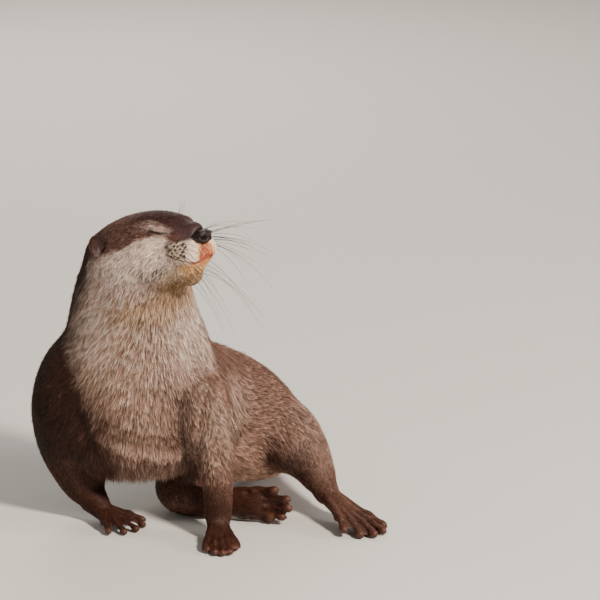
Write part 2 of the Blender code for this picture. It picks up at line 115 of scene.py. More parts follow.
def unit(vectors):
    return vectors / np.maximum(np.linalg.norm(vectors, axis=-1, keepdims=True), 1e-12)


def mound(*terms):
    """1 where every value is at its place, falling away round it. Terms: a value, its place and a width."""
    return np.exp(-sum(((value - place) / width) ** 2 for value, place, width in terms))


def directions(x, y, z):
    """A vector for each point. Each of the three is one number, or one for each point."""
    return np.stack(np.broadcast_arrays(x, y, z), axis=1)


def along_skin(ways, facing):
    """The ways turned down into the surface that faces so."""
    return unit(ways - (ways * facing).sum(1)[:, None] * facing)


def distance_to_line(points, line):
    """How far each point is from a line of straight stretches, and how far along it, from 0 to 1."""
    line = np.asarray(line, float)
    best = np.full(len(points), 1e9)
    where = np.zeros(len(points))
    for i in range(len(line) - 1):
        a, b = line[i], line[i + 1]
        t = np.clip(((points - a) @ (b - a)) / ((b - a) @ (b - a)), 0, 1)
        d = np.linalg.norm(points - (a + t[:, None] * (b - a)), axis=1)
        nearer = d < best
        best[nearer] = d[nearer]
        where[nearer] = (i + t[nearer]) / (len(line) - 1)
    return best, where


def link(data, name):
    made = bpy.data.objects.new(name, data)
    bpy.context.scene.collection.objects.link(made)
    return made


def finished(shape, name):
    """An object of the shape's faces, smooth-shaded."""
    mesh = bpy.data.meshes.new(name)
    shape.to_mesh(mesh)
    shape.free()
    mesh.shade_smooth()
    return link(mesh, name)


def aim(thing, at, way):
    """Puts a lamp or a camera in its place, looking that way."""
    thing.location = at
    thing.rotation_mode = "QUATERNION"
    thing.rotation_quaternion = way.to_track_quat("-Z", "Y")


def web(shape, middle, rows, flip=1):
    """Faces from a vertex out over rings of vertices, turned over if flip is -1."""
    around = len(rows[0])
    for k in range(around):
        following = (k + 1) % around
        shape.faces.new((middle, rows[0][k], rows[0][following])[::flip])
        for inner, outer in zip(rows, rows[1:]):
            shape.faces.new((inner[k], outer[k], outer[following], inner[following])[::flip])


def read(collection, name, wide, kind=np.float32):
    """One property of every item of a mesh's collection, in rows of so many numbers."""
    out = np.empty(len(collection) * wide, kind)
    collection.foreach_get(name, out)
    return out.reshape(-1, wide)


def coords(mesh):
    return read(mesh.vertices, "co", 3).astype(float)


def normals(mesh):
    return read(mesh.vertex_normals, "vector", 3).astype(float)


def set_coords(mesh, points):
    mesh.vertices.foreach_set("co", np.asarray(points, np.float32).ravel())
    mesh.update()


def edges_of(mesh):
    return read(mesh.edges, "vertices", 2, np.int32)


def spread(values, edges, rounds, weight=0.5):
    """Averages values along the edges: in each round, each moves that share of the way to its neighbours."""
    values = np.asarray(values, float)
    flat = values.reshape(len(values), -1)
    count = np.maximum(np.bincount(edges.ravel(), minlength=len(flat)), 1)[:, None]
    weight = np.asarray(weight, float).reshape(-1, 1)
    for _ in range(rounds):
        mean = np.empty_like(flat)
        for k in range(flat.shape[1]):
            column = flat[:, k]
            total = np.bincount(edges[:, 0], column[edges[:, 1]], len(flat))
            total += np.bincount(edges[:, 1], column[edges[:, 0]], len(flat))
            mean[:, k] = total
        flat = flat + (mean / count - flat) * weight
    return flat.reshape(values.shape)


def triangle_mesh(name, points, faces):
    mesh = bpy.data.meshes.new(name)
    mesh.vertices.add(len(points))
    mesh.vertices.foreach_set("co", np.asarray(points, np.float32).ravel())
    mesh.loops.add(len(faces) * 3)
    mesh.loops.foreach_set("vertex_index", np.asarray(faces, np.int32).ravel())
    mesh.polygons.add(len(faces))
    mesh.polygons.foreach_set("loop_start", np.arange(0, len(faces) * 3, 3, dtype=np.int32))
    mesh.update(calc_edges=True)
    return mesh


def paint(mesh, name, colours):
    """A colour attribute on the mesh's points."""
    layer = mesh.color_attributes.new(name, "FLOAT_COLOR", "POINT")
    full = np.ones((len(mesh.vertices), 4), np.float32)
    full[:, :3] = colours
    layer.data.foreach_set("color", full.ravel())


# ---------------- the lie, the length and the colours of the coat

# For each kind of part: how thick the tufts stand against the other kinds', their length and width and the
# coat's depth in millimetres, how many rounds of smoothing its skin gets, and how wide a lock of tufts is
HAIR_VALUES = ("density", "length", "width", "depth", "rounds", "lock")
HAIR = {
    "head": (2.6, 3.8, 0.33, 0.55, 26, 1.3),
    "muzzle": (4.8, 1.8, 0.24, 0.4, 10, 0.7),
    "jaw": (3.6, 2.8, 0.27, 0.5, 14, 0.9),
    "nose": (2.0, 1.0, 0.3, 0.3, 6, 0.8),
    "eye": (4.4, 1.5, 0.24, 0.35, 10, 0.7),
    "ear": (4.6, 2.2, 0.26, 0.34, 3, 0.9),
    "neck": (1.85, 10.6, 0.39, 1.3, 40, 1.4),
    "chest": (1.65, 11.6, 0.42, 1.5, 44, 1.4),
    "belly": (1.2, 8.4, 0.52, 1.3, 44, 1.8),
    "hips": (1.05, 8.6, 0.56, 1.35, 44, 1.9),
    "upper_foreleg": (1.35, 7.2, 0.46, 1.15, 36, 1.6),
    "forearm": (1.9, 4.6, 0.38, 0.7, 22, 1.3),
    "forepaw": (2.8, 2.7, 0.3, 0.34, 2, 0.9),
    "thigh": (1.3, 7.2, 0.48, 1.15, 36, 1.6),
    "shin": (1.7, 4.8, 0.40, 0.75, 24, 1.3),
    "hind_foot": (2.6, 2.9, 0.32, 0.34, 2, 0.9),
    "tail": (1.1, 7.6, 0.54, 1.1, 30, 1.8),
}
HEAD_KINDS = ("head", "muzzle", "jaw", "eye", "nose", "ear")
# The pieces of the coat and the kinds of part under them. What is left is the trunk's.
REGIONS = {
    "head": HEAD_KINDS,
    "neck": ("neck",),
    "chest": ("chest",),
    "foreleg": ("upper_foreleg", "forearm", "forepaw"),
    "hind_leg": ("thigh", "shin", "hind_foot"),
    "tail": ("tail",),
}
# Linear colours: the middle of a hair, and its paler tip
CROWN = ((0.092, 0.040, 0.030), (0.24, 0.145, 0.122))
FOREHEAD = ((0.036, 0.014, 0.012), (0.078, 0.037, 0.032))
# the nape's dark brown, darkened further as painted shade
NAPE_PAINTED_SHADE = ((0.024, 0.011, 0.008), (0.060, 0.031, 0.023))
BACK = ((0.046, 0.020, 0.013), (0.12, 0.060, 0.043))
# the animal's right shoulder and right foreleg: dark brown painted near black as painted shade, that side
# being turned away from the light
SHOULDER_PAINTED_SHADE = ((0.022, 0.009, 0.006), (0.058, 0.027, 0.018))
FLANK = ((0.112, 0.054, 0.038), (0.33, 0.20, 0.155))
# the left haunch and shin: paler, as a painted sheen
HAUNCH_SHEEN = ((0.160, 0.086, 0.063), (0.46, 0.305, 0.245))
# painted light: the belly's shaded underside, painted pale where it faces the light
BELLY_PAINTED_LIGHT = ((0.46, 0.25, 0.18), (0.88, 0.60, 0.47))
SADDLE = ((0.100, 0.045, 0.031), (0.29, 0.175, 0.140))
LEG = ((0.105, 0.047, 0.031), (0.33, 0.19, 0.145))
PAW = ((0.038, 0.011, 0.006), (0.12, 0.050, 0.034))
CHEEK = ((0.50, 0.345, 0.290), (1.0, 0.90, 0.83))
# the throat's tips are paler and bluer in part as a painted bluish sheen
THROAT = ((0.190, 0.108, 0.075), (0.88, 0.67, 0.54))
WARM = ((0.175, 0.091, 0.046), (0.78, 0.52, 0.32))
# the breast's tips are paler and bluer in part as a painted bluish sheen
BREAST = ((0.145, 0.076, 0.053), (0.66, 0.450, 0.355))
PAD = ((0.90, 0.66, 0.50), (1.0, 0.88, 0.75))
SPOT = ((0.022, 0.012, 0.010), (0.04, 0.022, 0.018))
BRIDGE = ((0.058, 0.028, 0.028), (0.11, 0.062, 0.060))
RUSSET = ((0.075, 0.022, 0.014), (0.13, 0.045, 0.032))
LID = ((0.46, 0.30, 0.25), (0.82, 0.64, 0.58))
LOW_LID = ((0.16, 0.085, 0.065), (0.30, 0.19, 0.16))
LIP = ((0.34, 0.060, 0.013), (0.50, 0.145, 0.042))
CHIN = ((0.92, 0.46, 0.20), (1.0, 0.70, 0.40))
CREAM = ((0.50, 0.37, 0.24), (0.86, 0.70, 0.52))
# a dull olive tone, partly the coat's own and partly painted green light thrown from the surroundings
OLIVE_AND_GREEN_LIGHT = ((0.20, 0.118, 0.056), (0.54, 0.35, 0.185))
EAR_RIM = ((0.080, 0.031, 0.023), (0.165, 0.076, 0.056))
LIP_SKIN = (0.29, 0.038, 0.014)
# the lines of the mouth and of the lids' slit: their dark edges, painted near black partly as painted shade
# in the crease and the slit
MOUTH_SKIN = (0.035, 0.014, 0.012)
LID_SKIN = (0.016, 0.009, 0.008)
TOE_SKIN = (0.070, 0.022, 0.012)
PAW_SKIN = (0.038, 0.012, 0.007)
EAR_SKIN = (0.024, 0.010, 0.008)

# where the head meets the neck, and which way that plane faces
NECK_JOINT, NECK_JOINT_FACING = np.array((-0.0586, -0.0923, 0.202)), unit(np.array((0.19, -0.11, 0.975)))
NECK_AXIS = np.array(((-0.0585, -0.0843, 0.198), (-0.0600, -0.0823, 0.158), (-0.0596, -0.0850, 0.100)))


def share_of(part, *kinds):
    """How far each point belongs to these kinds of part together, 0 to 1."""
    return np.clip(sum(part[kind] for kind in kinds), 0, 1)


def hair_value(part, name, more=0):
    """A value of the HAIR table at each point, blended between the kinds of part, with more added to it."""
    column = HAIR_VALUES.index(name)
    return sum(part[kind] * (HAIR[kind][column] + more) for kind in HAIR)


def height_of(line, u):
    """The w of a line of the face at each u."""
    return np.interp(u, [place[0] for place in line], [place[2] for place in line])


def front_angle(points):
    """Degrees round the neck and chest from the front, which turns from the head's way to the chest's."""
    z = points[:, 2]
    heights = (0.04, 0.10, 0.158, 0.198, 0.225)
    facing = np.radians(np.interp(z, heights, (-84, -82, -74, -62, -48)))
    upwards = NECK_AXIS[::-1]
    axis_x, axis_y = (np.interp(z, upwards[:, 2], upwards[:, i]) for i in (0, 1))
    turn = np.arctan2(points[:, 1] - axis_y, points[:, 0] - axis_x) - facing
    return np.degrees(np.abs((turn + math.pi) % (2 * math.pi) - math.pi))


def noise3(points, scale, seed=0):
    """A smooth wandering value between about -1 and 1, as a sum of slanted waves of that size."""
    waves = np.random.default_rng(seed)
    total = 0
    for _ in range(7):
        way = unit(waves.normal(size=3))
        often = 2 * math.pi / scale
        total = total + np.sin(points @ way * often * waves.uniform(0.6, 1.5) + waves.uniform(0, 6.3))
    return total / 3.2


def tinted(base, layers):
    """(middle, tip) colours: the base's, and each layer's colours laid over them in its share."""
    out = []
    for i in (0, 1):
        colour = base[i]
        for colours, share in layers:
            colour = mix(colour, colours[i], share)
        out.append(colour)
    return out


def head_markings(points):
    """(middle, tip) colours for points on the head, from u, |v| and w in millimetres."""
    local, eye, _, _, _ = face_lines(points)
    u, side, w = local.T
    wander = noise3(points, 0.016, 3) * 1.3 + noise3(points, 0.005, 4) * 0.9
    # the cheek is pale under the crown's edge and grows browner down and back, and the nape is dark
    soft = 1.4 + 3.0 * step(42, 0, u)
    edge = np.interp(u, CROWN_EDGE_U, CROWN_EDGE_W)
    under = step(edge + soft, edge - soft, w + wander)
    low = np.clip(step(-6, -34, w) * 0.75 + 0.35 * step(20, -8, u), 0, 1) * step(70, 52, u)
    nape = np.interp(w, NAPE_EDGE_W, NAPE_EDGE_U)
    # the lids are pale, and the brow over them is paler partly as a painted sheen, but the far eye's inner
    # end, seen past the forehead, is dark
    over_slit = w - height_of(EYE_SLIT, u)
    outer = np.where(to_head(points)[:, 1] > 0, step(19, 24, side), step(12, 17, side))
    lid = mound((u, 50.5, 8.5), (over_slit - wander * 0.5, 2.4, 2.9)) * step(6.5, 3.5, over_slit)
    brow = 0.62 * mound((u + wander, 50, 8), (over_slit + wander, 6.8, 3.0))
    lids = np.maximum(lid * (over_slit > -0.4), brow) * outer
    # the orange lips and chin in front, creamy behind them and olive below, all with wandering edges; the
    # olive is partly the coat's dull tone and partly painted green light from the surroundings
    mottle = 0.74 + 0.26 * noise3(points, 0.0035, 7)
    reach = 6.5 + 0.5 * np.clip(-w, 0, 12) + wander
    peach = step(66 + wander, 72 + wander, u) * step(reach + 5, reach, side) * step(4, 0, w)
    front_lip = step(68 + wander, 73.5 + wander, u) * step(reach + 2, reach - 3, side) * step(3, -1, w)
    red = step(70, 75, u) * step(-11, -12, w) * step(-18, -15, w) * step(11, 6, side)
    olive_and_green_light = step(-18, -25, w + wander * 1.5) * step(-44, -36, w) * step(38, 52, u + wander)
    dapple = step(0.1, 0.8, noise3(points, 0.0045, 8)) * step(46, 56, u)
    dapple = dapple * step(-13, -20, w) * step(-36, -30, w)
    layers = [
        (CHEEK, under),
        (THROAT, under * low),
        # the nape: dark brown, darkened further as painted shade
        (NAPE_PAINTED_SHADE, step(nape + 9, nape - 9, u + wander * 2)),
        (PAD, 0.6 * under * mound((u, 50, 9), (w, 7, 6))),
        (FOREHEAD, 0.9 * step(24, 13, side) * step(20, 42, u) * (1 - under)),
        (BRIDGE, step(60, 67, u) * step(5, 8, w)),
        (RUSSET, 0.95 * mound((u, 62.5, 4.5), (w, 9.5, 4.2)) * step(8, 13, side)),
        (LID, lids),
        (LOW_LID, 0.8 * mound((eye, 0, 2.0)) * (over_slit <= 0)),
        (PAD, 0.85 * step(58.5, 61.5, u) * step(7.0, 4.2, w) * step(-13.5, -10, w)),
        (CHIN, 0.65 * peach),
        (LIP, np.clip(front_lip * (mottle + 0.12), 0, 1)),
        (WARM, 0.85 * step(-24, -34, w) * step(6, 24, u)),
        (CREAM, 0.9 * step(44, 60, u + wander * 2) * step(-11.5, -14, w)),
        (CHIN, step(60, 68, u + wander * 2.5) * step(-11.5, -13.5, w) * step(-28, -22, w + wander)),
        (LIP, 0.8 * red * mottle),
        (OLIVE_AND_GREEN_LIGHT, 0.85 * np.maximum(olive_and_green_light, mound((u, 54, 9), (w, -29, 8)))),
        (RUSSET, 0.5 * dapple),
        (SPOT, 0.75 * mound((u, 59.2, 2.8), (w, 3.6, 3.8)) * step(10, 14, side)),
    ]
    # dark spots: uneven ones in rows on the pad where the whiskers stand, and a few low on the cheek
    for at_u, at_w in WHISKER_ROOTS:
        near = np.hypot(u - at_u, w - at_w) - 0.3 * math.sin(9 * at_u + 5 * at_w)
        layers.append((SPOT, 0.95 * step(1.5, 0.85, near) * step(12, 15, side)))
    for at_u, at_w in CHEEK_SPOTS:
        near = np.hypot(u - at_u, w - at_w)
        layers.append((SPOT, 0.85 * step(2.4, 0.9, near) * step(12, 17, side)))
    return tinted(CROWN, layers)


def body_markings(points, facing, part):
    """(middle, tip) colours for points on the neck, the trunk, the legs and the tail, in metres."""
    x, y, z = points.T
    facing_x, facing_y, facing_z = facing.T
    # the pale front of the neck and chest reaches so many degrees round to the left and to the right; low
    # down it reaches less far round the animal's right, as painted shade
    angle = front_angle(points)
    wander = noise3(points, 0.030, 5) * 6 + noise3(points, 0.009, 6) * 5
    left = np.interp(z, (0.03, 0.09, 0.15, 0.20), (50, 52, 66, 82))
    right = np.interp(z, (0.03, 0.07, 0.10, 0.13, 0.16, 0.20), (10, 12, 21, 52, 80, 88))
    on_right = step(-0.05, -0.08, x)
    edge = left * (1 - on_right) + right * on_right
    soft = np.interp(z, (0.09, 0.15, 0.20), (21, 24, 18))
    front = step(edge + soft, edge - soft, angle + wander)
    pale = tinted(BREAST, [
        (SADDLE, 0.4 * step(0.10, 0.055, z)),
        (THROAT, step(0.12, 0.175, z)),
        (WARM, step(0.175, 0.198, z) * step(46, 22, angle)),
        # painted sheen: the left side of the neck, which faces the light, paler
        (CHEEK, 0.3 * step(-0.042, -0.018, x) * step(0.125, 0.165, z) * step(85, 55, angle)),
        (CHEEK, 0.25 * step(-0.068, -0.082, x) * step(0.135, 0.16, z)),
    ])
    # the trunk behind the chest: darker along the spine, with painted light where it faces the light, on the
    # flank and on the belly's shaded underside
    sunny = step(-0.25, 0.2, facing_x - 0.6 * facing_y)
    lower = step(0.75, 0.2, facing_z + noise3(points, 0.05, 9) * 0.15)
    under = step(0.076, 0.034, z) * step(0.0, 0.02, x) * step(0.09, 0.06, x) * step(0.0, -0.03, y)
    side = tinted(BACK, [
        (SADDLE, sunny),
        (FLANK, lower * sunny * step(0.045, -0.01, y)),
        (BELLY_PAINTED_LIGHT, under * step(-0.2, 0.2, facing_x)),
    ])
    # the neck, shoulders and back: browner on the animal's left, and darkened on its right as painted shade
    dark = tinted(BACK, [
        (NAPE_PAINTED_SHADE, step(0.15, 0.18, z)),
        (SHOULDER_PAINTED_SHADE, step(-0.075, -0.11, x + wander * 0.0006) * step(0.19, 0.15, z)),
        (SADDLE, 0.55 * step(-0.055, -0.025, x)),
        (side, step(-0.03, 0.0, x) * step(-0.095, -0.07, y) * step(0.17, 0.12, z)),
    ])
    # the legs: dark at the paws and, as painted shade, on the animal's right; paler on the front of the left
    # foreleg and on the left haunch and shin, as painted sheen
    left_leg = step(-0.05, 0.0, x)
    inner = step(0.62, 0.05, facing_x) * step(-0.3, -0.75, facing_y) * step(-0.035, 0.0, x)
    foreleg = tinted(SHOULDER_PAINTED_SHADE, [
        (LEG, left_leg),
        (tinted(BREAST, [(THROAT, 0.5)]), 0.9 * inner * step(0.045, 0.085, z)),
    ])
    # painted sheen down the top of the left thigh and the left shin
    haunch_sheen = np.clip(part["thigh"] * step(0.040, 0.068, z) + 1.1 * part["shin"], 0, 1) * step(0.03, 0.06, x)
    limbs = share_of(part, "forearm", "shin", "thigh")
    # painted sheen: a pale line down the front of the left foreleg
    foreleg_sheen = mound((x, 0.012, 0.012), (z, 0.102, 0.028)) * step(-0.1, -0.6, facing_y)
    # painted shade in the fold between the belly and the left thigh
    fold_shade = mound((x, 0.080, 0.012), (z, 0.040, 0.018)) * step(0.1, -0.4, facing_y)
    colours = tinted(dark, [
        (pale, front),
        (side, share_of(part, "belly", "hips")),
        (foreleg, share_of(part, "upper_foreleg")),
        (tinted(LEG, [(HAUNCH_SHEEN, haunch_sheen)]), limbs),
        (BACK, 0.35 * part["forearm"] * left_leg),
        (THROAT, 0.75 * foreleg_sheen),
        (BACK, 0.6 * fold_shade),
        # painted shade: the right foreleg darkened
        (SHOULDER_PAINTED_SHADE, 0.75 * share_of(part, "upper_foreleg", "forearm") * (1 - left_leg)),
        # the paws are dark, and the left hind foot lighter as a painted highlight
        (tinted(PAW, [(LEG, 0.6 * step(0.07, 0.09, x))]),
         np.maximum(share_of(part, "forepaw", "hind_foot"), near_feet(points) * limbs)),
        # the tail, painted lighter where it faces the light
        (tinted(BACK, [(SADDLE, sunny), (BACK, step(0.03, 0.12, y))]), share_of(part, "tail")),
    ])
    cloud = 1 + 0.14 * noise3(points, 0.045, 11)
    return [colour * cloud[:, None] for colour in colours]


def markings(points, facing, part):
    """The coat's (middle, tip) colours: the head's blended broadly into the body's, and the ears' rims."""
    above = (points - NECK_JOINT) @ NECK_JOINT_FACING
    on_head = step(-0.013, 0.009, above) * (points[:, 2] > 0.16)
    body = body_markings(points, facing, part)
    return tinted(body, [(head_markings(points), on_head), (EAR_RIM, share_of(part, "ear"))])


def lie(points, facing, part):
    """Which way the hair lies: back from the nose, down the neck and legs, and back along the trunk."""
    x, y, z = points.T
    u, v, w = to_head(points).T
    side = np.sign(v)
    # over the head, and out to both sides on the whisker pads
    ahead = 1 - step(75, 40, u)
    fall = np.interp(w, (-30, -8, 4, 14, 26), (1.5, 1.05, 0.75, 0.28, -0.12)) * step(75, 40, u) + 0.25 * ahead
    aside = np.interp(np.abs(v), (0, 10, 30), (0, 0.35, 0.1)) * side
    over_head = head_vector(directions(-1, aside, -fall))
    on_pad = head_vector(directions(-1, 0.9 * side, -0.35))
    # down the throat and chest, parting to both sides, and back along the trunk
    middle = np.interp(z, (0.08, 0.20), (-0.052, -0.036))
    parting = np.interp(z, (0.04, 0.1, 0.15, 0.2), (0.25, 0.55, 0.95, 1.0))
    down = directions((x - middle) / 0.055 * parting, 0.35 * step(-0.09, -0.03, y), -1)
    back_along = np.array((0.72, 0.55, -0.30))
    on_trunk = back_along + directions(0, 0, -0.35 * step(0.08, 0.02, z))
    right = step(-0.04, -0.07, x)
    round_tail = unit(directions(TAIL_CENTRE[1] - y, x - TAIL_CENTRE[0], 0))
    ways = {
        "head": over_head,
        "eye": over_head,
        "nose": over_head,
        "muzzle": mix(on_pad, over_head, step(3, 9, w)),
        "jaw": head_vector(directions(-0.55, 0.35 * side, -1)),
        "ear": head_vector(directions(-0.2, 0.9 * side, 0.7)),
        "neck": down,
        "chest": mix(down, back_along, step(-0.075, -0.035, y) * step(-0.12, -0.06, x)),
        "belly": on_trunk,
        "hips": on_trunk,
        "upper_foreleg": mix((0.25, 0.3, -1.0), (-0.45, 0.45, -0.85), right),
        "forearm": mix((0.1, 0.05, -1.0), (0.35, -0.25, -0.9), right),
        "forepaw": mix((0.05, -1.0, -0.25), (0.75, -0.65, -0.25), right),
        "thigh": np.array((0.55, -0.45, -0.6)),
        "shin": mix((0.35, -0.7, -0.6), (0.3, -0.9, -0.2), step(0.03, 0.0, x)),
        "hind_foot": mix((0.6, -0.75, -0.3), (0.95, -0.25, 0.0), step(0.075, 0.065, x)),
        "tail": mix(round_tail, (0.35, 0.93, -0.1), step(0.075, 0.04, y)),
    }
    return along_skin(sum(part[kind][:, None] * ways[kind] for kind in ways), facing)


# ---------------- the skin


def modify(thing, kind, **settings):
    """Gives the object one modifier with these settings and keeps what it makes as its mesh."""
    modifier = thing.modifiers.new(kind, kind)
    for name, value in settings.items():
        setattr(modifier, name, value)
    thing.data = bpy.data.meshes.new_from_object(thing.evaluated_get(bpy.context.evaluated_depsgraph_get()))
    thing.modifiers.clear()


def grown_copy(node, by):
    """A node's mesh a little grown, so that it meets its neighbours across the thin cuts."""
    thing = link(node.data.copy(), "grown_" + node.name)
    modify(thing, "WELD", merge_threshold=0.00002)
    modify(thing, "DISPLACE", strength=by, mid_level=0)
    made = thing.data
    made.transform(node.matrix_world)
    bpy.data.objects.remove(thing)
    return made


def melt(thing, voxel):
    """One closed surface round everything in the object's mesh, without its loose scraps."""
    modify(thing, "REMESH", mode="VOXEL", voxel_size=voxel)
    keep_largest(thing.data)


def melted_skin(voxel):
    """The nodes of flesh as one closed surface. The feet's are drawn in, as finer ones go round them."""
    shape = bmesh.new()
    for name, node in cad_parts.items():
        if name == "nose" or name.startswith("ear"):
            continue
        foot = name.startswith(("forepaw", "hind_foot"))
        shape.from_mesh(grown_copy(node, -0.0011 if foot else 0.0004))
    # the flesh that carries the nose pad
    for vert in bmesh.ops.create_icosphere(shape, subdivisions=4, radius=1)["verts"]:
        vert.co = from_head(np.array(vert.co) * (7.6, 9.6, 6.6) + (72.2, 0, 3.6))
    thing = finished(shape, "skin")
    melt(thing, voxel)
    return thing


def unite(thing, other):
    """Adds a closed surface to the skin where the two cross."""
    modify(thing, "BOOLEAN", operation="UNION", solver="MANIFOLD", object=other)
    bpy.data.objects.remove(other)


def keep_largest(mesh):
    """Leaves only the connected surface with the most vertices."""
    edges = edges_of(mesh)
    label = np.arange(len(mesh.vertices))
    while True:
        low = np.minimum(label[edges[:, 0]], label[edges[:, 1]])
        before = label.copy()
        np.minimum.at(label, edges[:, 0], low)
        np.minimum.at(label, edges[:, 1], low)
        label = label[label]
        if (label == before).all():
            break
    best = np.bincount(label).argmax()
    if (label == best).all():
        return
    shape = bmesh.new()
    shape.from_mesh(mesh)
    shape.verts.ensure_lookup_table()
    stray = [shape.verts[i] for i in np.nonzero(label != best)[0]]
    bmesh.ops.delete(shape, geom=stray, context="VERTS")
    shape.to_mesh(mesh)
    shape.free()


def soft_parts(points, edges, rounds):
    """For each kind of part, how far each point belongs to it, with soft borders."""
    part = parts_of(points)
    every = spread(np.stack([part[kind] for kind in HAIR], axis=1), edges, rounds)
    return {kind: every[:, i] for i, kind in enumerate(HAIR)}


def kind_of(name):
    return next(kind for kind in sorted(HAIR, key=len, reverse=True) if name.startswith(kind))


def parts_of(points):
    """For each kind of part, 1 at the points nearest to such a node and 0 elsewhere."""
    places, kinds = [], []
    for name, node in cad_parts.items():
        at = coords(node.data)
        places.extend(at)
        kinds += [kind_of(name)] * len(at)
    tree = KDTree(len(places))
    for i, place in enumerate(places):
        tree.insert(place, i)
    tree.balance()
    nearest = np.array([kinds[tree.find(point)[1]] for point in points])
    return {kind: (nearest == kind).astype(float) for kind in HAIR}


def refine(thing):
    """Cuts the faces within a few millimetres of the lids' slits and the mouth three times finer each way."""
    shape = bmesh.new()
    shape.from_mesh(thing.data)
    shape.verts.ensure_lookup_table()
    _, eye, _, mouth, _ = face_lines(np.array([vert.co for vert in shape.verts]))
    close = (eye < 4.5) | (mouth < 3.6)
    edges = [edge for edge in shape.edges if close[edge.verts[0].index] and close[edge.verts[1].index]]
    bmesh.ops.subdivide_edges(shape, edges=edges, cuts=2, use_grid_fill=True)
    shape.to_mesh(thing.data)
    shape.free()


def face_lines(points):
    """Points as u, |v|, w, then how far in millimetres each is from the lids' slit, how far along it, and the
    same for the mouth."""
    local = to_head(points)
    local[:, 1] = np.abs(local[:, 1])
    return local, *distance_to_line(local, EYE_SLIT), *distance_to_line(local, MOUTH)


def nose_seam(local, far, near):
    """1 on the seam from the nose to the mouth up to near, 0 from far on."""
    u, side, w = local.T
    return step(far, near, side) * step(70, 73, u) * step(1, -1, w) * step(-12, -10, w)


def make_skin():
    """The skin, and how far each of its points belongs to each kind of part."""
    thing = melted_skin(SKIN_VOXEL)
    for name in FEET:
        unite(thing, make_foot(name))
    for side in (1, -1):
        unite(thing, make_ear(side))
    keep_largest(thing.data)
    points, edges = coords(thing.data), edges_of(thing.data)
    rounds = spread(hair_value(parts_of(points), "rounds"), edges, 6)
    for i in range(int(rounds.max())):
        points = spread(points, edges, 1, np.where(rounds > i, 0.5, 0.0))
    set_coords(thing.data, points)
    refine(thing)
    mesh = thing.data
    edges = edges_of(mesh)
    points = spread(coords(mesh), edges, 2, 0.4)
    set_coords(mesh, points)
    # the skin lies under the coat by the coat's own depth and a little more
    part = soft_parts(points, edges, 34)
    points = points - normals(mesh) * hair_value(part, "depth", 0.4)[:, None] * MM
    points[:, 2] = np.maximum(points[:, 2], FLOOR_GAP)
    set_coords(mesh, points)
    shape_body(mesh)
    shape_face(mesh)
    return thing, part


def shape_body(mesh):
    """The folds between chest and forelegs, the roll low on the chest, and the left shoulder's swell."""
    points, facing = coords(mesh), normals(mesh)
    seen = points / MM * (1, 0, 1)
    ahead = step(0.1, -0.35, facing[:, 1]) * (points[:, 1] < -0.1)
    move = np.zeros(len(points))
    for line, depth, width, swell, side in FOLDS:
        line = np.array([(x, 0, z) for x, z in line])
        away, along = distance_to_line(seen, line)
        ends = step(0, 0.15, along) * step(1, 0.85, along)
        beside = seen @ np.array(side) > np.interp(along, np.linspace(0, 1, len(line)), line @ np.array(side))
        move -= depth * ends * mound((away, 0, width))
        move += swell * ends * beside * mound((away, 2.4 * width, 1.5 * width))
    place, size, height = SHOULDER_SWELL
    swell = height * mound(*zip(points.T, place, size)) * step(-0.3, 0.5, facing[:, 0])
    set_coords(mesh, points + facing * ((move * ahead + swell) * MM)[:, None])
    set_coords(mesh, spread(coords(mesh), edges_of(mesh), 2, 0.4 * (np.abs(move) > 0.05)))


def shape_face(mesh):
    """The lids and their slit, the whisker pads, the mouth's line, the lips and the chin."""
    points, facing = coords(mesh), normals(mesh)
    local, eye, along_eye, mouth, along_mouth = face_lines(points)
    u, side, w = local.T
    ends = step(0, 0.10, along_eye) * step(1, 0.88, along_eye)
    over_slit = w - height_of(EYE_SLIT, u)
    upper = over_slit > 0
    # the ball of the eye, the creases over and under the lids, the slit, its two edges and its inner end
    move = 1.1 * mound((u, 52, 7.0), (over_slit, 0.8, 3.8)) * (side > 8)
    move -= 0.7 * ends * mound((eye, 6.0, 1.1)) * upper
    move -= 0.45 * ends * mound((eye, 4.2, 1.0)) * ~upper
    move -= 1.9 * ends * mound((eye, 0, 0.75))
    move += np.where(upper, 0.55, 0.3) * ends * mound((eye, 1.7, 1.0))
    move -= 0.6 * mound((np.hypot(u - 60.3, w - 13.6), 0, 1.5)) * (side > 10)
    # the whisker pads, and the furrow behind them
    move += 1.3 * mound((u, 66, 7), (w, -2, 6.5)) * step(6, 14, side)
    move -= 0.8 * mound((u, 56.8, 1.8), (w, 1, 6)) * step(10, 16, side)
    # the mouth's line between full lips, and the seam under the nose
    lip_line = step(0.0, 0.06, along_mouth)
    move -= 1.7 * (0.45 + 0.55 * lip_line) * mound((mouth, 0, 0.8))
    move += np.where(w > height_of(MOUTH, u), 0.6, 0.15) * lip_line * mound((mouth, 2.0, 1.4))
    under_nose = (u > 66) * step(2, 0, w) * step(-11.5, -10, w)
    move -= 1.0 * under_nose * mound((side, 0, 0.9))
    move += 0.5 * under_nose * mound((side, 5, 3.0)) * step(-2, -6, w)
    # the chin slopes back under the lower lip
    move -= 4.6 * mound((u, 73.5, 7), (w, -27, 7.5))
    set_coords(mesh, points + facing * (move * MM)[:, None])


def unwrap(thing):
    """The skin's own flat patches, on the map that the coat's roots are placed on too."""
    layer = thing.data.uv_layers.new(name="OFBake")
    layer.active = True
    bpy.context.view_layer.objects.active = thing
    thing.select_set(True)
    bpy.ops.object.mode_set(mode="EDIT")
    bpy.ops.mesh.select_all(action="SELECT")
    bpy.ops.uv.smart_project(angle_limit=math.radians(66), island_margin=0.003, area_weight=0.3)
    bpy.ops.object.mode_set(mode="OBJECT")
    thing.select_set(False)


# ---------------- the coat


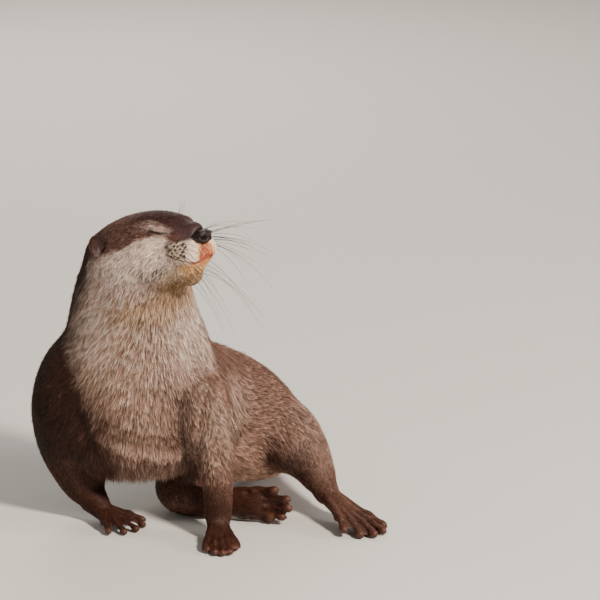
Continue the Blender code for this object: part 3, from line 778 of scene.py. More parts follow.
def tuft_roots(mesh, density):
    """Evenly scattered places on the mesh: the corners and loops of the triangle each is in, its shares of
    the three, and how many there are to the square millimetre round it."""
    mesh.calc_loop_triangles()
    corners, loops = (read(mesh.loop_triangles, name, 3, np.int32) for name in ("vertices", "loops"))
    at = coords(mesh)[corners] / MM
    area = np.linalg.norm(np.cross(at[:, 1] - at[:, 0], at[:, 2] - at[:, 0]), axis=1) / 2
    expected = area * density[corners].mean(1)
    scale = TUFTS / expected.sum()
    total = np.floor(np.cumsum(expected * scale) + rng.random())
    number = np.diff(total, prepend=0).astype(int)
    chosen = np.repeat(np.arange(len(corners)), number)
    first, second = rng.random(len(chosen)), rng.random(len(chosen))
    over = first + second > 1
    first[over], second[over] = 1 - first[over], 1 - second[over]
    shares = np.stack((1 - first - second, first, second), axis=1)
    return corners[chosen], loops[chosen], shares, density[corners[chosen]].mean(1) * scale


def at_roots(values, corners, shares):
    """The values at three corners each, blended by the shares."""
    picked = np.asarray(values)[corners]
    shares = shares.reshape(shares.shape + (1,) * (picked.ndim - 2))
    return (picked * shares).sum(1)


def follow(points, heights):
    """Each point laid over the skin at its height."""
    out = np.empty_like(points)
    facing = np.empty_like(points)
    for i, point in enumerate(points):
        out[i], facing[i], _, _ = SKIN_TREE.find_nearest(point)
    return out + facing * heights[:, None]


def locks(root, members):
    """Which tuft leads the lock that each tuft belongs to. A lock has about so many members."""
    lead = np.nonzero(rng.random(len(root)) < 1.0 / np.maximum(1.0, members))[0]
    tree = KDTree(len(lead))
    for number, i in enumerate(lead):
        tree.insert(root[i], number)
    tree.balance()
    return lead[np.array([tree.find(point)[1] for point in root])]


# a tuft's corners are its root, its left and right, its ridge and its tip
TUFT_FACES = np.array(((0, 3, 1), (0, 2, 3), (0, 1, 2), (4, 1, 3), (4, 3, 2), (4, 2, 1)))


def tufts_mesh(name, root, tip, normal, way, width, depth, colours, spots):
    """One mesh of closed tapering tufts, in metres. Each has three colours, from its root to its tip,
    and the spots are the roots' places on the map."""
    aside = unit(np.cross(normal, way))
    half = aside * width[:, None] / 2
    ridge = normal * (width * 0.4)[:, None]
    low = root - normal * (depth * 0.35)[:, None]
    middle = low * 0.58 + tip * 0.42 + normal * (depth * 0.42)[:, None]
    points = np.stack((low, middle + half, middle - half, middle + ridge, tip), axis=1)
    faces = (np.arange(len(root))[:, None, None] * 5 + TUFT_FACES[None]).reshape(-1, 3)
    mesh = triangle_mesh(name, points.reshape(-1, 3), faces)
    mesh.shade_smooth()
    # the tufts shade softly, as the fur's surface rather than as so many blades
    left, right = unit(normal + aside * 0.75), unit(normal - aside * 0.75)
    lit = np.stack((normal, left, right, normal, normal), axis=1)
    mesh.normals_split_custom_set_from_vertices(lit.reshape(-1, 3).tolist())
    paint(mesh, "coat", colours[:, (0, 1, 1, 1, 2)].reshape(-1, 3))
    # each tuft is a small patch of the map, round its root's own place
    patch = np.array(((0, -1), (-0.5, 0), (0.5, 0), (0, 0.1), (0, 1))) * 0.0015
    layer = mesh.uv_layers.new(name="OFBake")
    flat = (spots[:, None] + patch[None]).reshape(-1, 2)[faces.ravel()]
    layer.data.foreach_set("uv", flat.astype(np.float32).ravel())
    return link(mesh, name)


def bare_places(points, facing, part):
    """1 where no hair grows: the lids' slit, the mouth and the seam over it, the nose pad, the soles and the
    toes' ends. Less in the cups of the ears."""
    local, eye, _, mouth, along_mouth = face_lines(points)
    on_head = share_of(part, *HEAD_KINDS)
    lips = step(1.9, 1.3, mouth) * step(0.45, 0.62, along_mouth) + step(1.0, 0.6, mouth)
    from_nose = np.linalg.norm((local - NOSE_AT) / (np.array(NOSE_SIZE) + (1.6, 0.9, 0.6)), axis=1)
    return np.maximum.reduce((
        step(1.1, 0.7, eye) * on_head,
        np.clip(lips + nose_seam(local, 1.0, 0.5), 0, 1) * on_head,
        step(1.06, 0.98, from_nose) * on_head,
        in_ear(points, facing) * 0.15,
        share_of(part, "forepaw", "hind_foot") * step(-0.25, -0.6, facing[:, 2]),
        step(0.0012, 0.0006, points[:, 2]),
        toe_ends(points) * 0.97,
    ))


def coat_fields(points, facing, part):
    """The tufts' density, length, width and depth and the width of their locks at each point of the skin, and
    how far it belongs to the beard of longer hair under the chest."""
    fields = {name: hair_value(part, name) for name in HAIR_VALUES if name != "rounds"}
    local, eye, *_ = face_lines(points)
    u, side, w = local.T
    on_head = share_of(part, *HEAD_KINDS)
    # short on the crown, by the eye and on the lips, longer down the cheek
    cheek = step(8, -14, w) * step(58, 44, u) * on_head
    fields["length"] *= 1 + 0.75 * cheek
    fields["depth"] *= 1 + 0.35 * cheek
    by_eye = mound((eye, 0, 5)) * on_head
    fields["length"] *= 1 - 0.62 * by_eye
    fields["width"] *= 1 - 0.4 * by_eye
    fields["density"] *= 1 + 1.3 * by_eye
    forward = step(46, 62, u) * on_head
    fields["length"] *= 1 - 0.35 * forward
    front_lip = step(69, 74, u) * step(12, 8, side) * step(-2, -5, w) * step(-16, -13, w)
    fields["length"] *= 1 - 0.4 * front_lip * on_head
    # shorter and finer towards the feet
    ankle = near_feet(points) * share_of(part, "forearm", "shin", "thigh")
    for name in fields:
        fields[name] += (HAIR["forepaw"][HAIR_VALUES.index(name)] - fields[name]) * ankle
    low = step(0.078, 0.05, points[:, 2])
    beard = part["chest"] * low * step(-0.05, -0.4, facing[:, 2] + 0.6 * facing[:, 1])
    fields["length"] *= 1 + 0.45 * beard
    fields["density"] *= 1 - bare_places(points, facing, part)
    return fields, beard


LOCK_TONE = 0.27  # how much the locks differ from each other in tone
TUFT_TONE = 0.15  # how much the tufts of one lock do
ROOT_SHADE = 0.45  # the root's tone as a share of the middle's


def tuft_colours(marks, root, lead, rise):
    """Each tuft's colour at its root, middle and tip. Locks differ more than the tufts in one lock."""
    middle, pale = marks
    number = len(root)
    tone = 1 + 0.12 * noise3(root, 0.006, 31)
    tone = tone + rng.normal(0, LOCK_TONE, number)[lead] + rng.normal(0, TUFT_TONE, number)
    tone = np.clip(tone, 0.45, 1.8)[:, None] * (0.82 + 0.22 * rise[lead])[:, None]
    light = (0.75 * rng.random(number)[lead] + 0.25 * rng.random(number))[:, None] ** 1.5
    tips = middle + (pale - middle) * (0.15 + 1.45 * light)
    return np.minimum(np.stack((middle * ROOT_SHADE, middle, tips), axis=1) * tone[:, None], 1.0)


def pieces_of(kinds):
    """The name of each piece of the coat and the numbers of its tufts, from the kinds of part under them."""
    region = np.zeros(len(kinds["chest"]), int)
    for index, members in enumerate(REGIONS.values(), 1):
        region[sum(kinds[kind] for kind in members) > 0.5] = index
    for index, name in enumerate(("trunk", *REGIONS)):
        mine = np.nonzero(region == index)[0]
        for k, chosen in enumerate(np.array_split(mine, max(1, math.ceil(len(mine) / PIECE_TUFTS)))):
            yield f"coat_{name}_{k + 1}", chosen


# The ranges of the factors by which the tufts' length, width and rise differ
LENGTHS, WIDTHS, RISES = (0.75, 1.25), (0.75, 1.2), (0.25, 1.25)
LEAN = 0.10  # how far single tufts lean aside
DRIFT, DRIFT_SIZE = 0.14, 0.009  # how far whole patches do, and the patches' size in metres
LOCK_DRAW = 0.55  # how far the tips of a lock draw together
GUARD_SHARE, GUARD_RISE = 0.06, 1.1  # how many tufts are guard hairs, and how much more these rise


def make_coat(skin, part):
    """The coat's tufts over the skin, parted by region."""
    mesh = skin.data
    points, facing, edges = coords(mesh), normals(mesh), edges_of(mesh)
    way = lie(points, facing, part)
    for _ in range(5):
        way = along_skin(spread(way, edges, 7), facing)
    fields, beard = coat_fields(points, facing, part)
    corners, loops, shares, tufts_per_square = tuft_roots(mesh, fields["density"])
    number = len(corners)

    def here(values):
        return at_roots(values, corners, shares)

    root, normal, lean = here(points), unit(here(facing)), here(way)
    length = here(fields["length"]) * MM * rng.uniform(*LENGTHS, number)
    width = here(fields["width"]) * MM * rng.uniform(*WIDTHS, number)
    depth = here(fields["depth"]) * MM
    aside = np.cross(normal, lean)
    lean = lean + aside * rng.normal(0, LEAN, number)[:, None]
    lean = along_skin(lean + aside * (DRIFT * noise3(root, DRIFT_SIZE, 21))[:, None], normal)
    # the tufts of a lock draw together at its tip, which stands a little proud or lies low
    tip = root + lean * length[:, None]
    lock = here(fields["lock"])
    lead = locks(root, lock * lock * tufts_per_square)
    rise = rng.uniform(*RISES, number)
    tip = tip + (tip[lead] - tip) * LOCK_DRAW
    guard = 1 + GUARD_RISE * (rng.random(number) < GUARD_SHARE)
    tip = follow(tip, depth * (0.25 + 0.75 * rise[lead] + 0.12 * rng.random(number)) * guard)
    # the beard hangs
    hang = here(beard * step(0.1, -0.35, facing[:, 2])) * rng.random(number)
    hanging = root + np.array((0, -0.15, -0.99)) * (length * 0.8)[:, None]
    tip = tip + (hanging - tip) * (0.8 * hang)[:, None]
    tip[:, 2] = np.maximum(tip[:, 2], FLOOR_GAP)
    # where two colours meet, hairs of the one run into the other along their lie
    kinds = {kind: here(part[kind]) for kind in HAIR}
    strayed = root[lead] - (lean * (length * rng.random(number) * (1 - kinds["muzzle"]))[:, None])[lead]
    colours = tuft_colours(markings(strayed, normal, kinds), root, lead, rise)
    loop_uv = read(mesh.uv_layers["OFBake"].data, "uv", 2)
    spots = np.clip(at_roots(loop_uv, loops, shares), 0.002, 0.998)
    tufts = (root, tip, normal, lean, width, depth, colours, spots)
    return [tufts_mesh(name, *(values[chosen] for values in tufts)) for name, chosen in pieces_of(kinds)]


# ---------------- feet and ears

# Each foot, in millimetres: where the wrist or ankle meets it, its turn about +Z, +Y and +X in degrees, its
# palm's length, half width and half height, the toes' shares of their length, that length, their radius, how
# far they fan, and the leg's last stretch down to it as x, y, z and radius
FEET = {
    "right_paw": (
        (-89.55, -108.3, 11), (-40, 8, 0), (17, 12.6, 8), (0.82, 1.0, 1.05, 1.0, 0.78), 28, 3.6, 28,
        ((-104.5, -92, 38, 20), (-99.5, -96.3, 25, 14.5), (-91.5, -104.3, 16, 11.5), (-86, -110, 11, 9)),
    ),
    "left_paw": (
        (9.45, -150.3, 11), (-84, 8, 0), (17, 10.8, 8), (0.78, 1.0, 1.05, 1.0, 0.82), 28, 3.5, 7,
        ((9.4, -142.3, 34, 11), (9.4, -147.3, 19, 10.6), (9.4, -152.3, 12, 9)),
    ),
    "left_foot": (
        (95.45, -98.3, 22), (-52, 17, -8), (36, 14.0, 8.5), (0.92, 1.06, 1.04, 0.92, 0.76), 34, 4.2, 17,
        ((84.5, -78.3, 41, 17), (91.5, -90.3, 31, 13), (97, -99, 21.5, 11)),
    ),
    "right_foot": (
        (1.45, -101.3, 15.5), (-14, 0, -84), (36, 14.0, 8.5), (0.76, 0.92, 1.04, 1.06, 0.92), 34, 4.2, 9,
        ((-24.5, -95.3, 15.5, 12.5), (-8.5, -100.3, 14.5, 12), (8, -102, 14.5, 10.5)),
    ),
}
# Along a toe: the share of its length, how high its middle is in millimetres, and its radius as a share
TOE = ((0.22, 1.7, 0.80), (0.42, 1.9, 0.90), (0.60, 0.6, 0.70), (0.76, -0.6, 0.78), (0.91, -1.5, 1.02))
SOLE = 1.38  # how high the middle of a toe's end is over the floor, in its radii


def foot_frame(name):
    at, (yaw, pitch, roll), *_ = FEET[name]
    turn = Matrix.Rotation(math.radians(yaw), 4, "Z") @ Matrix.Rotation(math.radians(pitch), 4, "Y")
    turn = turn @ Matrix.Rotation(math.radians(roll), 4, "X")
    return Matrix.Translation(Vector(at) * MM) @ turn


def near_feet(points):
    """1 on the feet, falling to 0 a little way up the legs."""
    out = np.zeros(len(points))
    for name in FEET:
        back = np.array(foot_frame(name).inverted())
        ahead = (points @ back[:3, :3].T + back[:3, 3])[:, 0] / MM
        near = np.linalg.norm(points - np.array(FEET[name][0]) * MM, axis=1) / MM
        out = np.maximum(out, step(-36, 2, ahead) * step(60, 40, near) * step(52, 12, near * (ahead < 0)))
    return out


def toes_of(name):
    """Each toe's side, root, direction and length in its foot's frame, in millimetres, clear of the floor."""
    _, _, (length, wide, _), shares, toe_length, radius, fan, _ = FEET[name]
    place = foot_frame(name)
    up = place.to_3x3().inverted() @ Vector((0, 0, 1))
    for i, share in enumerate(shares):
        across = 1 - 2 * i / (len(shares) - 1)
        turn = math.radians(across * fan)
        root = Vector((length * (0.98 - 0.2 * across * across), across * wide * 0.8, -1.5))
        ahead = Vector((math.cos(turn), math.sin(turn), 0))
        reach = toe_length * share * 0.86
        sink = radius * SOLE - (place @ ((root + ahead * reach) * MM)).z / MM
        ahead = (ahead + up * max(0, sink) / reach).normalized()
        yield across, root, ahead, toe_length * share


def ball(fine):
    """A unit ball's corners and triangles."""
    shape = bmesh.new()
    bmesh.ops.create_icosphere(shape, subdivisions=fine, radius=1)
    corners = np.array([vert.co for vert in shape.verts])
    faces = np.array([[vert.index for vert in face.verts] for face in shape.faces])
    shape.free()
    return corners, faces


BALLS = {fine: ball(fine) for fine in (2, 3)}


def lump(shape, at, size, fine=2):
    """A round lump of these half sizes, in millimetres, added to the shape's list."""
    corners, faces = BALLS[fine]
    shape.append((corners * np.array(size) + np.array(at), faces))


def row_of_lumps(shape, stations, gap=1.0, fine=2):
    """Lumps set close through stations of (place, half sizes)."""
    for (a, first), (b, second) in zip(stations, stations[1:]):
        number = max(1, math.ceil((b - a).length / gap))
        for k in range(number + 1):
            share = k / number
            lump(shape, a.lerp(b, share), Vector(first).lerp(Vector(second), share), fine)


def make_foot(name):
    """A foot with long knuckled fingers, webs between them, round tips and padded soles."""
    _, _, (length, wide, high), _, _, radius, _, leg = FEET[name]
    shape = []
    palm = (
        (Vector((-9, 0, 1)), (7, wide * 0.66, high * 0.95)),
        (Vector((2, 0, 0)), (7, wide * 0.70, high * 0.95)),
        (Vector((length * 0.45, 0, -1)), (7, wide * 0.84, high * 0.80)),
        (Vector((length * 0.80, 0, -2)), (6, wide * 0.93, high * 0.58)),
    )
    row_of_lumps(shape, palm, 2.2, 3)
    toes = list(toes_of(name))
    up = Vector((0, 0, 1))
    for across, root, ahead, reach in toes:
        bone = (Vector((3, across * wide * 0.42, high * 0.38)), (2.8,) * 3)
        knuckle = (root + up * 1.9, (radius,) * 3)
        row_of_lumps(shape, (bone, knuckle))
        toe = [(root + ahead * reach * k + up * z, (radius * r,) * 3) for k, z, r in TOE]
        row_of_lumps(shape, [knuckle] + toe)
        tip_pad = root + ahead * reach * 0.86 - up * 2.6
        lump(shape, tip_pad, (radius * 1.15, radius * 0.95, radius * 0.75))
        middle_pad = root + ahead * reach * 0.3 - up * 0.9
        lump(shape, middle_pad, (radius * 1.1, radius * 0.8, radius * 0.8))
    for (_, root, ahead, reach), (_, next_root, next_ahead, next_reach) in zip(toes, toes[1:]):
        for k in range(7):
            share = 0.07 * k
            a = root + ahead * reach * share
            b = next_root + next_ahead * next_reach * share
            lump(shape, (a + b) / 2 - up * 0.6, (1.8, (a - b).length / 2, 0.9 + 0.08 * (6 - k)))
    for y in (-0.6, -0.2, 0.2, 0.6):
        pad = Vector((length * (0.92 - 0.35 * y * y), y * wide, -high * 0.42))
        lump(shape, pad, (radius * 1.25, radius, radius * 0.7))
    lump(shape, Vector((length * 0.55, 0, -high * 0.45)), (length * 0.16, wide * 0.5, high * 0.45))
    place = np.array(foot_frame(name))
    shape = [(corners * MM @ place[:3, :3].T + place[:3, 3], faces) for corners, faces in shape]
    ankle = []
    row_of_lumps(ankle, [(Vector(at), (thick,) * 3) for *at, thick in leg], 1.6, 3)
    shape += [(corners * MM, faces) for corners, faces in ankle]
    starts = np.cumsum([0] + [len(corners) for corners, _ in shape])
    faces = np.concatenate([each + start for (_, each), start in zip(shape, starts)])
    thing = link(triangle_mesh(name, np.concatenate([corners for corners, _ in shape]), faces), name)
    melt(thing, FOOT_VOXEL)
    set_coords(thing.data, spread(coords(thing.data), edges_of(thing.data), 6))
    return thing


def make_ear(side):
    """The small round ear: a cup with a rolled rim, opening forwards and out."""
    turn = Matrix.Rotation(math.radians(side * EAR_TURN), 3, "Z")
    rings, around = 22, 60
    shares = np.linspace(0, 1, rings + 1)[1:]
    angles = np.linspace(0, 2 * math.pi, around, endpoint=False)
    shape = bmesh.new()

    def place(share, angle, face):
        across, up = math.cos(angle) * share, math.sin(angle) * share
        ridge = math.exp(-(((across * side - 0.1) / 0.2) ** 2) - ((up + 0.1) / 0.5) ** 2)
        cup = -2.4 + 3.2 * share**2.4 + 0.9 * ridge * (face > 0)
        thick = (0.9 + 0.45 * step(0.55, 0.95, share)) * math.sqrt(max(0, 1 - share**10))
        local = Vector((cup + face * thick, across * EAR_SIZE[0], up * EAR_SIZE[1]))
        at = Vector((EAR_AT[0], side * EAR_AT[1], EAR_AT[2]))
        return Vector(from_head(turn @ local + at))

    sheets = []
    for face in (1, -1):
        middle = shape.verts.new(place(0, 0, face))
        rows = [[shape.verts.new(place(s, a, face)) for a in angles] for s in shares[:-1]]
        sheets.append((middle, rows))
    rim = [shape.verts.new(place(1, a, 0)) for a in angles]
    for (middle, rows), flip in zip(sheets, (1, -1)):
        web(shape, middle, rows + [rim], flip)
    bmesh.ops.recalc_face_normals(shape, faces=shape.faces)
    bmesh.ops.triangulate(shape, faces=shape.faces)
    return finished(shape, "ear")


def in_ear(points, facing):
    """1 in the cups of the ears, 0 elsewhere."""
    out = np.zeros(len(points))
    for side in (1, -1):
        turn = np.array(Matrix.Rotation(math.radians(side * EAR_TURN), 3, "Z"))
        local = (to_head(points) - (EAR_AT[0], side * EAR_AT[1], EAR_AT[2])) @ turn
        share = np.hypot(local[:, 1] / EAR_SIZE[0], local[:, 2] / EAR_SIZE[1])
        open_side = step(-0.1, 0.3, facing @ head_vector(turn[:, 0]))
        out = np.maximum(out, step(0.86, 0.7, share) * open_side * (np.abs(local[:, 0]) < 6))
    return out


def toe_tips():
    """The end of every toe and its direction, with its foot's up, in metres."""
    for name in FEET:
        place = foot_frame(name)
        turn = place.to_3x3()
        for _, root, ahead, reach in toes_of(name):
            tip = root + ahead * reach * 0.95 - Vector((0, 0, 1.4))
            yield place @ (tip * MM), turn @ ahead, turn @ Vector((0, 0, 1)), FEET[name][5] * MM


def toe_ends(points):
    """1 at the ends of the toes, 0 elsewhere."""
    out = np.zeros(len(points))
    for tip, _, _, radius in toe_tips():
        near = np.linalg.norm(points - np.array(tip), axis=1)
        out = np.maximum(out, step(radius * 1.6, radius * 0.95, near))
    return out


# ---------------- materials


def material(name, roughness, specular):
    """A new material, its nodes, and the sockets of its shader."""
    made = bpy.data.materials.new(name)
    made.use_nodes = True
    shader = made.node_tree.nodes["Principled BSDF"].inputs
    shader["Roughness"].default_value = roughness
    shader["Specular IOR Level"].default_value = specular
    return made, made.node_tree, shader


def feed(tree, socket, value):
    """Gives a socket its value, or another node's output."""
    if isinstance(value, bpy.types.NodeSocket):
        tree.links.new(value, socket)
    else:
        socket.default_value = value


def add_node(tree, kind, output, inputs=(), **settings):
    """The output of a new node with these inputs and settings of its own."""
    made = tree.nodes.new("ShaderNode" + kind)
    for name, value in settings.items():
        setattr(made, name, value)
    for name, value in dict(inputs).items():
        feed(tree, made.inputs[name], value)
    return made.outputs[output]


def texture(tree, kind, output, **values):
    """A procedural texture in the piece's own space."""
    place = add_node(tree, "TexCoord", "Object")
    return add_node(tree, "Tex" + kind, output, {"Vector": place, **values})


def ranged(tree, value, low, high):
    return add_node(tree, "MapRange", "Result", {"Value": value, "To Min": low, "To Max": high})


def painted(tree):
    return add_node(tree, "Attribute", "Color", attribute_name="coat")


def ramp(tree, value, dark, pale, places=(0, 1)):
    """A colour between two as the value goes from the one place to the other."""
    out = add_node(tree, "ValToRGB", "Color", {"Fac": value})
    for element, colour, place in zip(out.node.color_ramp.elements, (dark, pale), places):
        element.color = (*colour, 1)
        element.position = place
    return out


def relief(tree, height):
    """A fine bump, a quarter of a millimetre deep."""
    return add_node(tree, "Bump", "Normal", {"Height": height, "Strength": 0.4, "Distance": 0.00025})


def coat_material():
    made, tree, shader = material("otter_coat", 0.5, 0.12)
    noise = texture(tree, "Noise", "Fac", Scale=900, Detail=3)
    tint = {0: painted(tree), "Scale": ranged(tree, noise, 0.78, 1.2)}
    feed(tree, shader["Base Color"], add_node(tree, "VectorMath", "Vector", tint, operation="SCALE"))
    feed(tree, shader["Roughness"], ranged(tree, noise, 0.42, 0.64))
    return made


def skin_material():
    made, tree, shader = material("otter_skin", 0.48, 0.3)
    grain = texture(tree, "Voronoi", "Distance", Scale=1100)
    wrinkle = texture(tree, "Noise", "Fac", Scale=420, Detail=5)
    tint = {0: painted(tree), "Scale": ranged(tree, wrinkle, 0.7, 1.3)}
    feed(tree, shader["Base Color"], add_node(tree, "VectorMath", "Vector", tint, operation="SCALE"))
    both = add_node(tree, "Math", "Value", {0: grain, 1: wrinkle}, operation="ADD")
    feed(tree, shader["Normal"], relief(tree, both))
    return made


def nose_material():
    made, tree, shader = material("otter_nose", 0.4, 0.2)
    cloud = texture(tree, "Noise", "Fac", Scale=260, Detail=4)
    leather = ramp(tree, cloud, (0.008, 0.003, 0.003), (0.030, 0.014, 0.014), (0.35, 0.75))
    tint = {0: leather, 1: painted(tree)}
    feed(tree, shader["Base Color"], add_node(tree, "VectorMath", "Vector", tint, operation="MULTIPLY"))
    feed(tree, shader["Roughness"], ranged(tree, cloud, 0.34, 0.55))
    feed(tree, shader["Normal"], relief(tree, texture(tree, "Voronoi", "Distance", Scale=1300)))
    return made


def whisker_material():
    made, tree, shader = material("otter_whisker", 0.35, 0.5)
    feed(tree, shader["Base Color"], painted(tree))
    return made


def nail_material():
    made, tree, shader = material("otter_nail", 0.42, 0.35)
    noise = texture(tree, "Noise", "Fac", Scale=500)
    feed(tree, shader["Base Color"], ramp(tree, noise, (0.035, 0.014, 0.009), (0.085, 0.038, 0.024)))
    return made


def floor_material():
    made, tree, shader = material("floor", 0.8, 0.2)
    noise = add_node(tree, "TexNoise", "Fac", {"Scale": 3})
    feed(tree, shader["Base Color"], ramp(tree, noise, (0.66, 0.63, 0.585), (0.70, 0.67, 0.625)))
    return made


# ---------------- nose, whiskers and nails


def make_nose():
    """The bare pad: broad above and narrow below, flat in front, with comma-shaped nostrils and a seam."""
    shape = bmesh.new()
    bmesh.ops.create_icosphere(shape, subdivisions=6, radius=1)
    made = finished(shape, "nose_pad")
    u, v, w = coords(made.data).T
    long, wide, high = NOSE_SIZE
    # a blunt front, a width that falls away below, and a top that dips at its middle
    level = np.sign(w) * np.abs(w) ** 0.8
    width = wide * np.interp(level, (-1, -0.7, -0.3, 0.2, 0.6, 1), (0.42, 0.60, 0.88, 1.0, 0.98, 0.84))
    blunt = np.interp(level, (-1, -0.4, 0.4, 1), (0.80, 0.97, 1.0, 0.76))
    ahead = long * np.sign(u) * np.abs(u) ** 0.75 * blunt
    height = high * level - 0.5 * np.abs(v) ** 2.2 * (w > 0) - 0.6 * mound((v, 0, 0.22)) * step(0.3, 1, w)
    points = np.stack((ahead - 2.4 * np.abs(v) ** 2.5, np.sign(v) * np.abs(v) ** 0.8 * width, height), axis=1)
    outward = unit(np.stack((u / long, v / wide, w / high), axis=1))
    move = np.zeros(len(points))
    nostril_shade = np.zeros(len(points))
    front = step(0.0, 0.4, u)
    for side in (1, -1):
        # a round hole in front, and a cut that runs from it out to the side, both painted darker as painted
        # shade
        out, above = side * points[:, 1], points[:, 2]
        across, up = out - 5.2, above + 0.2
        hole = np.exp(-(((across / 2.1) ** 2 + (up / 1.7) ** 2) ** 1.7)) * front
        cut = mound((out, 7.6, 2.0), (above - 0.3 - 0.45 * (out - 7.4), 0, 0.75)) * step(-0.3, 0.15, u)
        move -= 2.2 * hole + 1.1 * cut
        move += 0.8 * front * np.exp(-(((across / 3.6) ** 2 + (up / 3.0) ** 2 - 1.1) ** 2) * 3)
        nostril_shade = np.maximum(nostril_shade, np.maximum(hole, 0.8 * cut))
    move -= 0.9 * front * mound((points[:, 1], 0, 0.65)) * step(2.5, 0, points[:, 2])
    move += 0.05 * noise3(points * MM, 0.0015, 41) + 0.03 * noise3(points * MM, 0.0007, 42)
    points = points + outward * move[:, None]
    # the nostrils painted near black, as painted shade in them
    paint(made.data, "coat", np.repeat(1 - 0.93 * nostril_shade[:, None], 3, axis=1))
    set_coords(made.data, from_head(points + np.array(NOSE_AT)))
    return made


def tubes(name, lines, root_colour, tip_colour, sides=5):
    """Thin closed tubes as one mesh. Each line is its points and the radius at each of them."""
    verts, faces, shade = [], [], []
    for points, radii in lines:
        start, number = len(verts), len(points)
        ahead = unit(np.gradient(points, axis=0))
        aside = unit(np.cross(ahead, (0.31, 0.17, 0.93)))
        above = np.cross(ahead, aside)
        for i in range(number):
            share = i / (number - 1)
            for k in range(sides):
                turn = 2 * math.pi * k / sides
                verts.append(points[i] + (aside[i] * math.cos(turn) + above[i] * math.sin(turn)) * radii[i])
                shade.append(mix(root_colour, tip_colour, share))
        for i in range(number - 1):
            for k in range(sides):
                a, b = start + i * sides + k, start + i * sides + (k + 1) % sides
                faces.append((a, b, b + sides, a + sides))
        faces.append(tuple(start + k for k in reversed(range(sides))))
        faces.append(tuple(start + (number - 1) * sides + k for k in range(sides)))
    mesh = bpy.data.meshes.new(name)
    mesh.from_pydata([tuple(v) for v in verts], [], faces)
    mesh.update()
    mesh.shade_smooth()
    paint(mesh, "coat", np.array(shade))
    return link(mesh, name)


def on_skin(u, side, w):
    """The skin's place at (u, w) on one side of the head."""
    start = Vector(from_head((u, side * 80, w)))
    return np.array(SKIN_TREE.ray_cast(start, Vector(head_vector((0, -side, 0))))[0])


def whisker(place, way, length, droop, thick):
    """A hair that leaves along way and bends down, tapering from its root."""
    way = unit(np.asarray(way, float))
    shares = np.linspace(0, 1, 13)
    far = length * shares[:, None]
    line = place - way * 0.0012 + way * far
    line[:, 2] -= droop * length * shares**2
    return line, thick * (0.12 + (1 - shares) ** 0.8)


# For each kind of whisker: how far its direction strays, the least and the most of its length and its droop,
# and its radius at the root, in metres
WHISKERS = {
    "pad": (0.09, (0.036, 0.068), (0.10, 0.75), 0.00020),
    "brow": (0.1, (0.013, 0.017), (0.05, 0.05), 0.00015),
    "cheek": (0.1, (0.022, 0.034), (0.2, 0.3), 0.00011),
    "chin": (0.1, (0.036, 0.060), (0.35, 0.7), 0.00018),
}
BROW_ROOTS = ((52, 23.5, 0.9), (55, 22.5, 0.8), (49, 23.0, 1.0))  # u, w and how steeply the whisker rises
CHIN_ROOTS = ((70, -19), (66, -23), (71.5, -16.5), (63, -26), (68.5, -21))


def make_whiskers():
    """Long drooping hairs on the pads and the chin, and a few short ones over the eyes and on the cheeks."""
    local = np.random.default_rng(11)
    lines = []

    def grow(kind, u, side, w, way):
        stray, length, droop, thick = WHISKERS[kind]
        way = head_vector(way) + stray * local.normal(size=3)
        length, droop = local.uniform(*length), local.uniform(*droop)
        lines.append(whisker(on_skin(u, side, w), way, length, droop, thick))

    for side in (1, -1):
        for u, w in WHISKER_ROOTS:
            forward, up = (u - 66) / 8, (w - 0.5) / 5
            way = (0.84 + 0.40 * forward, side * (0.60 - 0.22 * forward), 0.34 * up - 0.02)
            grow("pad", u, side, w, way)
        for u, w, rise in BROW_ROOTS:
            grow("brow", u, side, w, (0.25, side * 0.45, rise))
        for u, w in CHEEK_SPOTS[1:5:2]:
            grow("cheek", u, side, w, (0.6, side * 0.6, -0.6))
        for u, w in CHIN_ROOTS:
            grow("chin", u, side, w, (0.85, side * 0.3, -0.45))
    return tubes("whiskers", lines, (0.03, 0.021, 0.017), (0.13, 0.095, 0.075))


def make_lashes():
    """The dark line where the lids meet, with its short lashes, and the line between the lips, both dark
    partly as painted shade in the slit and the crease.
    """
    local = np.random.default_rng(13)
    lines = []
    shares = np.linspace(0, 1, 24)
    for side in (1, -1):
        for path, thick in ((EYE_SLIT, 0.00042), (MOUTH[:8], 0.00030)):
            line = np.array(path)
            at = [np.interp(shares, np.linspace(0, 1, len(line)), line[:, i]) for i in (0, 2)]
            centres = np.array([on_skin(u, side, w) for u, w in zip(*at)])
            centres = centres + head_vector((0, side * 0.15, 0)) * MM
            lines.append((centres, thick * np.clip(np.sin(math.pi * shares) * 1.6, 0.12, 1)))
            if path is not EYE_SLIT:
                continue
            for position in local.uniform(1.5, 21.5, 34):
                low = int(position)
                start = centres[low] + (centres[low + 1] - centres[low]) * (position - low)
                way = head_vector((local.normal(0, 0.25) - 0.1, side * 0.9, -0.55 + local.normal(0, 0.12)))
                lines.append(whisker(start, way, local.uniform(0.0024, 0.0034), 0.15, 0.00009))
    return tubes("lashes", lines, (0.016, 0.009, 0.008), (0.024, 0.014, 0.011))


NAIL_SIZE = (0.0017, 0.0010, 0.0006)


def make_nails():
    """The small peg-like nails, sunk in the top of each toe's end."""
    shape = bmesh.new()
    for tip, ahead, up, radius in toe_tips():
        place, normal, _, _ = SKIN_TREE.ray_cast(tip + ahead * radius * 0.45 + up * 0.012, -up)
        if place is None:
            continue
        aside = ahead.cross(normal).normalized()
        along = normal.cross(aside)
        turn = Matrix((along, aside, normal)).transposed().to_4x4()
        turn.translation = place + along * 0.0003 + normal * 0.0001
        made = bmesh.ops.create_uvsphere(shape, u_segments=16, v_segments=12, radius=1)
        bmesh.ops.transform(shape, matrix=turn @ Matrix.Diagonal((*NAIL_SIZE, 1)), verts=made["verts"])
    return finished(shape, "nails")


